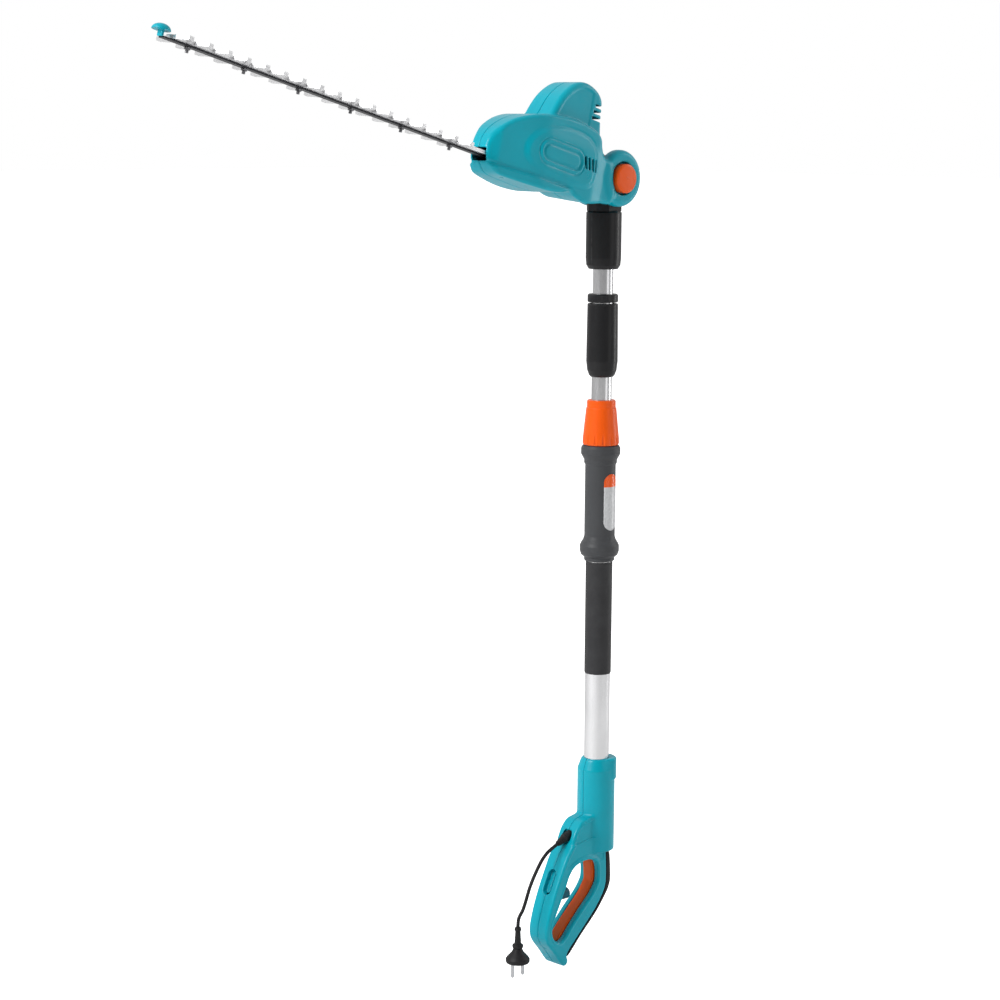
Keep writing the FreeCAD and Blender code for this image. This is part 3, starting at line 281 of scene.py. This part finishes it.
class Shader:
    """A node material under construction: its Principled shader and a few shared inputs."""

    def __init__(self, name):
        self.material = bpy.data.materials.new(name)
        self.material.use_nodes = True
        self.tree = self.material.node_tree
        self.shader = self.tree.nodes["Principled BSDF"]
        self.place = self.tree.nodes.new("ShaderNodeTexCoord")

    def node(self, kind, **values):
        made = self.tree.nodes.new(kind)
        for key, value in values.items():
            setattr(made, key, value)
        return made

    def link(self, source, target):
        self.tree.links.new(source, target)

    def noise(self, scale, detail=3.0, roughness=0.5, stretch=None):
        made = self.node("ShaderNodeTexNoise")
        made.inputs["Scale"].default_value = scale
        made.inputs["Detail"].default_value = detail
        made.inputs["Roughness"].default_value = roughness
        source = self.place.outputs["Object"]
        if stretch:
            mapping = self.node("ShaderNodeMapping")
            mapping.inputs["Scale"].default_value = stretch
            self.link(source, mapping.inputs["Vector"])
            source = mapping.outputs["Vector"]
        self.link(source, made.inputs["Vector"])
        return made.outputs["Fac"]

    def spread(self, source, low, high, from_low=0.3, from_high=0.7):
        made = self.node("ShaderNodeMapRange")
        made.inputs["From Min"].default_value = from_low
        made.inputs["From Max"].default_value = from_high
        made.inputs["To Min"].default_value = low
        made.inputs["To Max"].default_value = high
        self.link(source, made.inputs["Value"])
        return made.outputs["Result"]

    def tint(self, factor, first, second):
        made = self.node("ShaderNodeMix", data_type="RGBA")
        made.inputs[6].default_value = (*first, 1)
        made.inputs[7].default_value = (*second, 1)
        self.link(factor, made.inputs[0])
        return made.outputs[2]

    def overlay(self, factor, base, colour):
        made = self.node("ShaderNodeMix", data_type="RGBA")
        self.link(factor, made.inputs[0])
        self.link(base, made.inputs[6])
        made.inputs[7].default_value = (*colour, 1)
        return made.outputs[2]

    def bump(self, source, distance, strength=1.0, below=None):
        made = self.node("ShaderNodeBump")
        made.inputs["Distance"].default_value = distance
        made.inputs["Strength"].default_value = strength
        self.link(source, made.inputs["Height"])
        if below is not None:
            self.link(below, made.inputs["Normal"])
        return made.outputs["Normal"]

    def edges(self, low, high):
        """Where the surface turns sharply outwards."""
        geometry = self.node("ShaderNodeNewGeometry")
        return self.spread(geometry.outputs["Pointiness"], 0, 1, low, high)

    def finish(self, colour, roughness, normal=None, metallic=0.0, coat=0.0):
        self.link(colour, self.shader.inputs["Base Color"])
        self.link(roughness, self.shader.inputs["Roughness"])
        if normal is not None:
            self.link(normal, self.shader.inputs["Normal"])
        self.shader.inputs["Metallic"].default_value = metallic
        self.shader.inputs["Coat Weight"].default_value = coat
        self.shader.inputs["Coat Roughness"].default_value = 0.15
        self.shader.inputs["Specular IOR Level"].default_value = 0.2
        return self.material


def shade(colour, factor):
    return tuple(channel * factor for channel in colour)


def plastic(name, colour, roughness, grain=0.00003, grain_scale=2600, coat=0.0, scuffs=0.25):
    """Moulded plastic: slight colour drift, fine spark grain, edges polished and lightened by handling."""
    look = Shader(name)
    drift = look.noise(14, 4)
    base = look.tint(look.spread(drift, 0, 1), shade(colour, 0.93), shade(colour, 1.05))
    worn = look.node("ShaderNodeMath", operation="MULTIPLY")
    look.link(look.edges(0.54, 0.62), worn.inputs[0])
    look.link(look.spread(look.noise(90, 5, 0.6), 0, scuffs, 0.4, 0.65), worn.inputs[1])
    pale = tuple(0.6 * channel + 0.18 for channel in colour)
    base = look.overlay(worn.outputs[0], base, pale)
    smear = look.noise(38, 5, 0.6)
    gloss = look.spread(smear, roughness * 0.85, roughness * 1.18)
    fine = look.noise(grain_scale, 1)
    waves = look.noise(45, 2)
    normal = look.bump(waves, 0.00012, 0.25, look.bump(fine, grain, 0.5))
    return look.finish(base, gloss, normal, coat=coat)


def rubber(name, colour, roughness, grain=0.00012, grain_scale=900):
    """Soft black compound: matt, dusty, with a coarse pebble grain."""
    look = Shader(name)
    dust = look.noise(26, 6, 0.65)
    dusty = tuple(channel * 1.2 + 0.006 for channel in colour)
    base = look.tint(look.spread(dust, 0, 1, 0.45, 0.75), colour, dusty)
    gloss = look.spread(look.noise(60, 4), roughness * 0.9, min(1, roughness * 1.1))
    cells = look.node("ShaderNodeTexVoronoi")
    cells.inputs["Scale"].default_value = grain_scale
    look.link(look.place.outputs["Object"], cells.inputs["Vector"])
    normal = look.bump(cells.outputs["Distance"], grain, 0.6)
    return look.finish(base, gloss, normal)


def metal(name, colour, roughness, stretch=(1, 1, 1), streak_scale=900, depth=0.00002, stain=0.12):
    """Bare metal with drawn or ground streaks along the long side of stretch, and faint staining."""
    look = Shader(name)
    streaks = look.noise(streak_scale, 3, 0.6, stretch)
    patches = look.noise(22, 5, 0.6)
    base = look.tint(look.spread(patches, 0, 1), shade(colour, 1 - stain), colour)
    both = look.node("ShaderNodeMath", operation="ADD")
    look.link(look.spread(streaks, roughness * 0.75, roughness * 1.2), both.inputs[0])
    look.link(look.spread(patches, 0, roughness * 0.25), both.inputs[1])
    normal = look.bump(streaks, depth, 0.5)
    return look.finish(base, both.outputs[0], normal, metallic=1.0)


TURQUOISE = (0.0, 0.37, 0.47)
ORANGE = (0.9, 0.105, 0.003)


def badge_material():
    """A plain silver label with one orange end; nothing is written on it."""
    look = Shader("badge")
    low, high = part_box("grip_badge")
    split = look.node("ShaderNodeSeparateXYZ")
    look.link(look.place.outputs["Object"], split.inputs[0])
    height = look.spread(split.outputs["Z"], 0, 1, low.z, high.z)
    silver = look.tint(look.spread(look.noise(300, 3), 0, 1), (0.55, 0.56, 0.57), (0.68, 0.69, 0.7))
    accent = look.spread(height, 0, 1, 0.77, 0.775)
    base = look.overlay(accent, silver, ORANGE)
    gloss = look.spread(look.noise(80, 3), 0.22, 0.32)
    return look.finish(base, gloss, look.bump(look.noise(2500, 1), 0.00002, 0.3), coat=0.5)


def make_materials():
    return {
        "turquoise_plastic": plastic("turquoise_plastic", TURQUOISE, 0.32, coat=0.12),
        "orange_plastic": plastic("orange_plastic", ORANGE, 0.34, coat=0.15),
        "black_plastic": plastic("black_plastic", (0.012, 0.012, 0.013), 0.34, coat=0.1),
        "grey_plastic": plastic("grey_plastic", (0.062, 0.064, 0.068), 0.42, 0.00006, 1500),
        "dark_teal_plastic": plastic("dark_teal_plastic", (0.0, 0.09, 0.13), 0.35),
        "soft_grip": rubber("soft_grip", (0.016, 0.016, 0.018), 0.6),
        "black_foam": rubber("black_foam", (0.034, 0.034, 0.036), 0.5, 0.00006, 1400),
        "black_rubber": rubber("black_rubber", (0.014, 0.014, 0.015), 0.5, 0.00003, 1600),
        "tube_aluminium": metal("tube_aluminium", (0.8, 0.8, 0.81), 0.2, (1, 1, 0.02)),
        "cast_aluminium": metal("cast_aluminium", (0.5, 0.5, 0.5), 0.5, (1, 1, 1), 300, 0.0001),
        "blade_steel": metal("blade_steel", (0.95, 0.95, 0.96), 0.3, (0.05, 1, 0.05), 700),
        "bar_steel": metal("bar_steel", (0.05, 0.05, 0.055), 0.4, (0.05, 1, 0.05), 500),
        "zinc_steel": metal("zinc_steel", (0.62, 0.62, 0.64), 0.3),
        "dark_steel": metal("dark_steel", (0.22, 0.22, 0.23), 0.35),
        "copper": metal("copper", (0.75, 0.35, 0.16), 0.35),
        "carbon": rubber("carbon", (0.02, 0.02, 0.02), 0.7),
        "bronze": metal("bronze", (0.55, 0.38, 0.17), 0.4),
        "badge_plastic": badge_material(),
    }


LOOKS = make_materials()


def dress_frame():
    """Every frame node takes the full material of its slot."""
    slots = {part["node"]: part["material_slot"] for part in frame["record"]["subparts"]}
    for name, node in NODES.items():
        node.data.materials.clear()
        node.data.materials.append(LOOKS[slots[name]])


# ---------------------------------------------------------------- head casing

# Millimetres from the tilt axis: x along the cutter, y towards the button, z away from the pole.
HUB_RADIUS = 37
CHEEK = 34
TONGUE_GAP = 20.05
WALL = 2.8
BODY_HALF = 37.4
HUMP_HALF = 27
BUTTON_WELL_RADIUS = 21.85
BUTTON_WELL_FLOOR = 24
STAR_HOLE_RADIUS = 16.2
BOLT_HOLE_RADIUS = 6.1
BOLT_SEAT_RADIUS = 12
BOLT_SEAT_DEPTH = 6
BULKHEAD = 45
SEAM_HALF = 0.12
SEAM_ROUNDING = 0.7

BODY_SIDE = through([
    (16, -8), (30, 12), (41, 18), (48.5, 27), (53, 38), (62, 44.5), (76, 48), (94, 49.5), (118, 48.8),
    (148, 44.5), (174, 38.5), (200, 27), (218, 13.5), (229, 0.5), (234, -12), (234.5, -24), (231, -35),
    (224.5, -43.5), (213, -49.5), (190, -51), (162, -51.5), (134, -50.5), (111, -47), (96, -41.5),
    (84, -46.5), (66, -49.5), (48, -46.5), (30, -41.5), (14, -36.5)])
HUMP_SIDE = through([
    (40, 15), (47, 38), (52, 60), (54, 76), (56.5, 88), (65, 96.5), (78, 101.5), (92, 102.5), (106, 98.5),
    (118, 90), (129, 78), (137, 64.5), (144, 48), (150, 32), (130, 15), (80, 10)])
BULGE_SIDE = through([
    (58, 14), (66, 30), (84, 38), (120, 38.5), (154, 31), (178, 14), (187, -4), (182, -21), (163, -31),
    (120, -34.5), (82, -34.5), (62, -28), (56, -8)])
UNDERSIDE_CANT = 0.1
PAD_CENTRE = (124, -3)
PAD_HALF_LENGTH = 24.5
PAD_RADIUS = 15.5


def head_side_width(x, z):
    """Half width of the casing's flank: drawn in at the nose, bulged over the gears, lipped below."""
    width = BODY_HALF - 17 * ease(x, 148, 238) - 5 * ease(x, 216, 236) - 3.0 * (1 - ease(x, 34, 62))
    bulge = -outline(BULGE_SIDE, x, z)
    width = width + 2.6 * ease(bulge, -1.0, 9.0) - 1.6 * ease(z, 16, 34) * ease(bulge, 0, 3)
    width = width - 0.05 * np.maximum(z - 6, 0)
    lip = ease(x, 92, 106)
    width = width + lip * (1.8 * ease(-z, 38.4, 41) - 1.4 * ease(-z, 34, 36) * ease(z, -40, -38))
    return width + flank_pad(x, z)


def flank_pad(x, z):
    """The stadium on the flank: a moat, a raised rim, a sunk field and a low pill inside."""
    depth = -stadium(x, z, PAD_CENTRE, PAD_HALF_LENGTH, PAD_RADIUS)
    moat = -0.9 * ease(depth, -3.0, -1.8) * ease(-depth, 0.0, 1.0)
    rim = 1.0 * ease(depth, -0.2, 1.0) * ease(-depth, -4.0, -2.9)
    field = -1.1 * ease(depth, 3.4, 4.6) + 0.9 * ease(depth, 6.6, 8.4)
    return moat + rim + field


def hump_width(x, z):
    """Half width of the motor hump, with a sunk panel on its flank."""
    inset = outline(HUMP_SIDE, x, z)
    panel = -0.9 * ease(-inset, 7.5, 9) * ease(x, 74, 76.5) * ease(z, 46, 49)
    return HUMP_HALF - 0.03 * np.maximum(z - 45, 0) + panel


def head_outside(points):
    """The casing's outer form: gearbox body, motor hump and tilt cheeks run together."""
    x, y, z = points.x, np.abs(points.y), points.z
    canted = UNDERSIDE_CANT * (BODY_HALF - points.y) * (1 - ease(x, 86, 97)) * ease(-z, 25, 38)
    trunk = spread(outline(BODY_SIDE, x, z - canted), y, head_side_width(x, z), 5.0)
    hump = spread(outline(HUMP_SIDE, x, z), y, hump_width(x, z), 6.5)
    disc = spread(np.sqrt(x * x + z * z) - HUB_RADIUS, y, CHEEK, 8.0)
    return join(join(trunk, hump, 4.0), disc, 7.0)


def head_hollow(outside, points):
    """The space inside the casing, closed off from the hub by a bulkhead."""
    inside = outside + WALL
    return np.maximum(inside, BULKHEAD - points.x)


def head_vents(points):
    """Three slots across the back of the hump, and four leaning slots through each flank."""
    cuts = []
    for step in range(3):
        low = 60 + 8.2 * step
        cuts.append(box(points, (44, -45, low), (72 - 1.5 * step, 45, low + 4.2), 1.6))
    for step in range(4):
        slot = stadium(points.x, points.z, (80.5 - 6.7 * step, 0.5), 6.6, 1.6, 73)
        cuts.append(spread(slot, np.abs(points.y), 60, 0.3))
    return np.minimum.reduce(np.broadcast_arrays(*cuts))


def hub_spaces(points):
    """Room for the knuckle between the cheeks, the button's well and the tilt bolt's seat."""
    x, y, z = points.x, points.y, points.z
    radius = np.sqrt(x * x + z * z)
    swing = np.maximum(radius - HUB_RADIUS - 3, np.abs(y) - TONGUE_GAP)
    back = np.maximum(x - 16, np.abs(y) - TONGUE_GAP)
    well = np.maximum(radius - BUTTON_WELL_RADIUS, BUTTON_WELL_FLOOR - y)
    star_hole = np.maximum(radius - STAR_HOLE_RADIUS, -y)
    bolt_hole = np.maximum(radius - BOLT_HOLE_RADIUS, y)
    bolt_seat = np.maximum(radius - BOLT_SEAT_RADIUS, y + CHEEK - BOLT_SEAT_DEPTH)
    space = np.minimum(swing, back)
    for other in (well, star_hole, bolt_hole, bolt_seat):
        space = np.minimum(space, other)
    return space


HEAD_SCREWS = ((212, -3, 19), (186, 9, 25), (127, 62, 20), (66, 40, 20), (62, -36, 31), (214, -42, 18))
MOUTH = ((213, -12.5, -36), (262, 12.5, -20.5))


def screw_wells(points, spots, radius, side):
    """Round recesses for casing screws on one y side; a spot is x, z and where the recess starts."""
    x, y, z = points.x, points.y, points.z
    wells = []
    for a, b, start in spots:
        wells.append(np.maximum(np.sqrt((x - a) ** 2 + (z - b) ** 2) - radius, start - side * y))
    return np.minimum.reduce(wells)


def make_head():
    """The two halves of the head casing, hollow, with their openings cut."""
    for side, label in ((1, "left"), (-1, "right")):
        low_y, high_y = (-1.5, 44) if side > 0 else (-44, 1.5)
        points = Samples((-41, low_y, -54), (240, high_y, 109), FINE)
        outside = head_outside(points)
        shell = carve(outside, head_hollow(outside, points), 0.3)
        shell = carve(shell, hub_spaces(points), 1.0)
        shell = carve(shell, head_vents(points), 1.0)
        shell = carve(shell, box(points, *MOUTH, 1.5), 1.5)
        if side < 0:
            shell = carve(shell, screw_wells(points, HEAD_SCREWS, 3.6, side), 0.6)
        shell = carve(shell, side * points.y - SEAM_HALF, SEAM_ROUNDING)
        node = f"head_shell_{label}"
        moulded(f"{node}_skin", points, shell, HEAD, "head", "turquoise_plastic", node)


# ---------------------------------------------------------------- rear handle

# Millimetres along the frame's own axes.
BARREL_RADIUS = 25.5
BARREL_TOP = -58.5
BARREL_BOTTOM = -187
HANDLE_HALF = 18.3
HANDLE_WALL = 2.6
GRIP_BACK_HALF = 17.3
CORD_SLOT_DEPTH = 7
TUBE_RADIUS = 17
LOCK_HEIGHT = -237.5
LOCK_HOLE_RADIUS = 5.8
BOOT_START = (-46, -155)
BOOT_LEAN = math.atan2(0.37, 0.93)
BOOT_DIRECTION = (-math.cos(BOOT_LEAN), -math.sin(BOOT_LEAN))

LOOP_SIDE = through([
    (-14, -124), (-18, -133), (-30, -136.5), (-42, -139.5), (-52, -149), (-58, -160), (-62, -170),
    (-73, -184), (-84, -205), (-98, -235), (-107.5, -262), (-111, -281), (-107.5, -295.5), (-93, -313.5),
    (-81, -329), (-74, -333.5), (-68.5, -328), (-69.5, -317), (-53, -300.5), (-33, -282.5), (-15, -265.5),
    (-1, -248), (4.5, -236), (6, -226), (5.5, -204), (5, -183), (14, -176), (14, -124)])
WINDOW_SIDE = through([
    (-37, -194), (-56, -198.5), (-67, -209), (-74, -223), (-86, -246), (-96, -265), (-100, -279),
    (-97, -290), (-88, -297.5), (-77, -294), (-64, -280.5), (-45, -262.5), (-25.5, -245.5), (-16, -234.5),
    (-11.5, -225), (-12.5, -206), (-20, -196.5)])
COLLAR_END = -87.5


def barrel(points, shrink=0.0):
    """The round socket around the pole: a shoulder at the top and a softened foot."""
    radius = np.sqrt(points.x ** 2 + points.y ** 2)
    z = points.z
    chamfer = 0.36 * np.maximum(z - (BARREL_TOP - 15), 0) * ease(-points.x, -14, 8)
    lug = 2.0 * ease(z, COLLAR_END - 0.8, COLLAR_END + 0.8) * ease(points.x, 0, 12)
    wall = radius - BARREL_RADIUS + chamfer - lug + shrink
    ends = np.maximum(z - BARREL_TOP, BARREL_BOTTOM - z) + shrink
    edge = 2.5
    p, q = wall + edge, ends + edge
    return np.minimum(np.maximum(p, q), 0) + np.sqrt(np.maximum(p, 0) ** 2 + np.maximum(q, 0) ** 2) - edge


def loop_width(x, z):
    """Half width of the loop, with a ridge, a rim along the window and a dip outside the rim."""
    outer = outline(LOOP_SIDE, x, z)
    window = outline(WINDOW_SIDE, x, z)
    rim = 0.9 * ease(-window, -4.6, -3.4)
    dip = 1.0 * ease(-outer, 5.0, 6.2) * ease(window, 6.0, 7.2) * ease(z, -200, -196)
    above_ridge = 1.5 * ease(z - 0.13 * x, -162.5, -161)
    return HANDLE_HALF - 0.9 + rim - dip - above_ridge


def boot_axis_distance(points):
    """Distance from the axis of the cable's boot, and how far along it a point lies."""
    dx, dz = points.x - BOOT_START[0], points.z - BOOT_START[1]
    along = dx * BOOT_DIRECTION[0] + dz * BOOT_DIRECTION[1]
    across = dz * BOOT_DIRECTION[0] - dx * BOOT_DIRECTION[1]
    return np.sqrt(across ** 2 + points.y ** 2), along


HANDLE_SCREWS = ((-46, -177, 12), (-1.5, -190.5, 12), (-103.4, -268, 12), (-80, -311, 11), (21.3, -90, 7))


def cord_slot(points, outer, grow=0.0):
    """The shallow slot on the front of the loop that the cord is tucked into."""
    mouth = stadium(points.z, points.y, (-216.5, 0), 9, 7) - grow
    return np.maximum(np.maximum(mouth, -CORD_SLOT_DEPTH - grow - outer), points.x + 70)


def boot_pocket(points, grow=0.0):
    """The round pocket the cable's boot stands in."""
    radius, along = boot_axis_distance(points)
    return np.maximum(radius - 8.2 - grow, 4 - grow - along)


def handle_openings(points, outer):
    """Room in the casing for the pole, the lock button, the cord, its boot and the trigger."""
    x, y, z = points.x, np.abs(points.y), points.z
    space = np.maximum(np.sqrt(x * x + y * y) - TUBE_RADIUS, -165 - z)
    knob = np.maximum(np.sqrt((z - LOCK_HEIGHT) ** 2 + y * y) - LOCK_HOLE_RADIUS, np.abs(x + 83) - 9)
    for other in (knob, cord_slot(points, outer), boot_pocket(points), trigger_slot(points)):
        space = np.minimum(space, other)
    return space


TRIGGER_HALF = 8.6
TRIGGER_GAP = 0.8
TRIGGER_SIDE = through([
    (-16, -201), (-14.5, -226), (-18.5, -235), (-28, -246.5), (-48, -264), (-68, -282), (-83.5, -297.5),
    (-83.5, -297.5), (-78.5, -303), (-78.5, -303), (-61, -288), (-42, -270), (-21, -250.5), (-8, -233),
    (-4.5, -224), (-6, -204), (-9, -197), (-13, -197)])


def trigger_slot(points):
    """The gap the trigger moves in."""
    flat = outline(TRIGGER_SIDE, points.x, points.z) - TRIGGER_GAP
    return np.maximum(flat, np.abs(points.y) - TRIGGER_HALF - 1)


def make_trigger():
    """The long lever: flat sides, its front edge rounded for the fingers."""
    points = Samples((-86, -11, -306), (-2, 11, -194), FINE * 0.7)
    lever = spread(outline(TRIGGER_SIDE, points.x, points.z), np.abs(points.y), TRIGGER_HALF, 2.2)
    moulded("trigger_skin", points, lever, POLE, "trigger_lever", "orange_plastic", "trigger")


def make_handle_shells():
    """The two halves of the loop handle and its socket, hollow inside."""
    for side, label in ((-1, "left"), (1, "right")):
        low_y, high_y = (-1.5, 28) if side > 0 else (-28, 1.5)
        points = Samples((-115, low_y, -338), (30, high_y, -56), FINE * 0.85)
        x, y, z = points.x, np.abs(points.y), points.z
        outer = outline(LOOP_SIDE, x, z)
        window = outline(WINDOW_SIDE, x, z)
        flat = np.maximum(outer, -window)
        loop = spread(flat, y, loop_width(x, z), 3.4)
        body = join(loop, barrel(points), 4.0)
        hollow_loop = spread(flat + HANDLE_WALL, y, HANDLE_HALF - HANDLE_WALL - 2.4, 1.0)
        hollow = join(hollow_loop, barrel(points, HANDLE_WALL), 2.0)
        tube_wall = np.maximum(np.sqrt(x * x + y * y) - TUBE_RADIUS - 2.4, -167 - z)
        for kept in (tube_wall, cord_slot(points, outer, 1.6), boot_pocket(points, 2.2)):
            hollow = carve(hollow, kept, 0.3)
        shell = carve(body, hollow, 0.3)
        shell = carve(shell, handle_openings(points, outer), 0.8)
        if side > 0:
            shell = carve(shell, screw_wells(points, HANDLE_SCREWS, 3.5, side), 0.6)
        shell = carve(shell, side * points.y - SEAM_HALF, SEAM_ROUNDING)
        node = f"handle_shell_{label}"
        moulded(f"{node}_skin", points, shell, POLE, "handle", "turquoise_plastic", node)


GRIP_BACK = through([
    (5, -190), (11, -190), (13.2, -200), (14.5, -226), (13, -236), (7.5, -246.5), (-8.5, -266),
    (-25, -281.5), (-43, -297), (-66, -319), (-71, -319), (-55, -299), (-34, -281), (-16, -264),
    (-2, -247), (4, -235), (5, -226)])


def make_grip_back():
    """The soft back of the grip, rounded along its long edges, against the casing."""
    points = Samples((-74, -19, -323), (18, 19, -186), FINE * 0.8)
    soft = spread(outline(GRIP_BACK, points.x, points.z), np.abs(points.y), GRIP_BACK_HALF, 3)
    casing = outline(LOOP_SIDE, points.x, points.z)
    soft = carve(soft, casing - 0.1, 0.3)
    moulded("grip_overmould_skin", points, soft, POLE, "handle", "soft_grip", "grip_overmould")


TIP = (744, 0, -23.2)
DOME_HALVES = (11, 11.5, 7.5)


def make_tip_guard():
    """A low dome over the end of the bar, on a small foot."""
    points = Samples((728, -13, -34), (756, 13, -12), FINE * 0.5)
    x, y, z = points.x - TIP[0], np.abs(points.y - TIP[1]), points.z - TIP[2]
    a, b, c = DOME_HALVES
    dome = (np.sqrt((x / a) ** 2 + (y / b) ** 2 + (z / c) ** 2) - 1) * 8
    dome = np.maximum(dome, -z)
    foot = box(points, (742.1, -4.5, -30), (745.5, 4.5, -20), 0.8)
    whole = join(dome, foot, 0.8)
    moulded("tip_guard_skin", points, whole, HEAD, "head", "turquoise_plastic", "tip_guard")


# From inside the casing outwards: where the step starts and ends, its radius and its rounding.
LOCK_STEPS = ((-90.5, -85, 3.4, 0.4), (-86.6, -85.4, 6.6, 0.3), (-86, -68, 5.5, 0.3), (-71.5, -56, 8, 1.8))


def make_lock_button():
    """The round button in the window, with a collar inside the casing that keeps it from falling out."""
    points = Samples((-92, -9, LOCK_HEIGHT - 9), (-54, 9, LOCK_HEIGHT + 9), FINE * 0.5)
    radius = np.sqrt(points.y ** 2 + (points.z - LOCK_HEIGHT) ** 2)
    button = None
    for low, high, size, edge in LOCK_STEPS:
        part = spread(radius - size, np.abs(points.x - (low + high) / 2), (high - low) / 2, edge)
        button = part if button is None else join(button, part, 0.6)
    moulded("lock_button_skin", points, button, POLE, "lock", "dark_teal_plastic", "lock_button")


# Node, body, joint, the coil's axis, its fixed end in metres and the share of its length kept when pressed.
SPRINGS = (
    ("button_spring", "head", "tilt_button_press", (0, 1, 0), (PIVOT.x, -0.0062, PIVOT.z), 0.62),
    ("trigger_spring", "handle", "trigger_squeeze", (0.69, 0, -0.72), (-0.0236, 0, -0.2685), 0.58),
    ("lock_spring", "handle", "lock_button_press", (1, 0, 0), (-0.0972, 0, LOCK_HEIGHT * MM), 0.2),
)


def make_springs():
    """Coils copied from the frame's springs, each riding its body in place of the original."""
    for name, body, joint, axis, anchor, keep in SPRINGS:
        coil = bpy.data.objects.new(f"{name}_coil", NODES[name].data.copy())
        coil.matrix_world = NODES[name].matrix_world.copy()
        bpy.context.scene.collection.objects.link(coil)
        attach(coil, body)
        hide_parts(name)
        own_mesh(coil)


# ---------------------------------------------------------------- stage

FLOOR_HALF = 40
FLOOR_GAP = 0.004


def make_stage():
    """A wide pale floor just under the plug and handle, glowing only towards the camera."""
    mesh = bpy.data.meshes.new("floor")
    low = cad_box[0].z - FLOOR_GAP
    corners = [(x * FLOOR_HALF, y * FLOOR_HALF, low) for x, y in ((-1, -1), (1, -1), (1, 1), (-1, 1))]
    mesh.from_pydata(corners, [], [(0, 1, 2, 3)])
    floor = bpy.data.objects.new("floor", mesh)
    bpy.context.scene.collection.objects.link(floor)
    look = Shader("floor")
    base = look.tint(look.noise(3, 2), (0.86, 0.86, 0.86), (0.9, 0.9, 0.9))
    look.shader.inputs["Emission Color"].default_value = (1, 1, 1, 1)
    glow = look.node("ShaderNodeMath", operation="MULTIPLY")
    glow.inputs[1].default_value = 0.95
    look.link(look.node("ShaderNodeLightPath").outputs["Is Camera Ray"], glow.inputs[0])
    look.link(glow.outputs[0], look.shader.inputs["Emission Strength"])
    floor.data.materials.append(look.finish(base, look.spread(look.noise(5, 2), 0.7, 0.8)))


def area_light(name, place, target, size, power, colour=(1, 1, 1)):
    data = bpy.data.lights.new(name, "AREA")
    data.shape = "RECTANGLE"
    data.size, data.size_y = size
    data.energy = power
    data.color = colour
    lamp = bpy.data.objects.new(name, data)
    bpy.context.scene.collection.objects.link(lamp)
    lamp.location = place
    lamp.rotation_mode = "QUATERNION"
    lamp.rotation_quaternion = (Vector(target) - Vector(place)).to_track_quat("-Z", "Y")


def make_lights():
    """A white room that is darker behind the camera, a key from the cutter side and two soft strips."""
    world = bpy.data.worlds.new("studio")
    bpy.context.scene.world = world
    world.use_nodes = True
    tree = world.node_tree
    backdrop = tree.nodes["Background"]
    backdrop.inputs["Color"].default_value = (1, 1, 1, 1)
    path = tree.nodes.new("ShaderNodeLightPath")
    place = tree.nodes.new("ShaderNodeTexCoord")
    facing = tree.nodes.new("ShaderNodeVectorMath")
    facing.operation = "DOT_PRODUCT"
    facing.inputs[1].default_value = (-0.73, -0.68, 0.1)
    tree.links.new(place.outputs["Generated"], facing.inputs[0])
    room = tree.nodes.new("ShaderNodeMapRange")
    room.inputs["From Min"].default_value = -0.1
    room.inputs["From Max"].default_value = 0.75
    room.inputs["To Min"].default_value = 0.7
    room.inputs["To Max"].default_value = 0.12
    tree.links.new(facing.outputs["Value"], room.inputs["Value"])
    strength = tree.nodes.new("ShaderNodeMix")
    strength.inputs[3].default_value = 1.0
    tree.links.new(path.outputs["Is Camera Ray"], strength.inputs[0])
    tree.links.new(room.outputs["Result"], strength.inputs[2])
    tree.links.new(strength.outputs[0], backdrop.inputs["Strength"])
    bpy.context.scene.view_settings.view_transform = "Standard"
    area_light("key", (-3.4, 0.5, 2.6), (-0.1, 0, 0.4), (2.0, 2.0), 150)
    area_light("fill", (0.6, -3.4, 0.8), (0, 0, 0.2), (1.4, 2.4), 8)
    area_light("rim", (2.6, -1.4, 0.9), (0, 0, 0.3), (0.5, 2.6), 22)


# Degrees round the object, upwards and of roll; the offset is in metres.
CAMERA_TURN = (-45, 8.6, 0.47)
CAMERA_LENS = 91.1
CAMERA_FROM_PIVOT = Vector((-2.4650, -2.2756, 0.0777))


def make_camera():
    """The studio view: from the button side of the nose, a little above."""
    azimuth, pitch, roll = (math.radians(angle) for angle in CAMERA_TURN)
    level = math.cos(pitch)
    back = Vector((math.sin(azimuth) * level, -math.cos(azimuth) * level, math.sin(pitch)))
    right = Vector((math.cos(azimuth), math.sin(azimuth), 0))
    up = back.cross(right)
    turned_right = right * math.cos(roll) + up * math.sin(roll)
    turned_up = up * math.cos(roll) - right * math.sin(roll)
    data = bpy.data.cameras.new("camera")
    data.sensor_width = 36
    data.lens = CAMERA_LENS
    data.clip_end = 100
    camera = bpy.data.objects.new("camera", data)
    bpy.context.scene.collection.objects.link(camera)
    place = PIVOT + CAMERA_FROM_PIVOT
    columns = Matrix((turned_right, turned_up, back)).transposed()
    camera.matrix_world = Matrix.Translation(place) @ columns.to_4x4()
    bpy.context.scene.camera = camera


dress_frame()
make_head()
make_handle_shells()
make_trigger()
make_grip_back()
make_tip_guard()
make_lock_button()
make_springs()
make_stage()
make_lights()
make_camera()
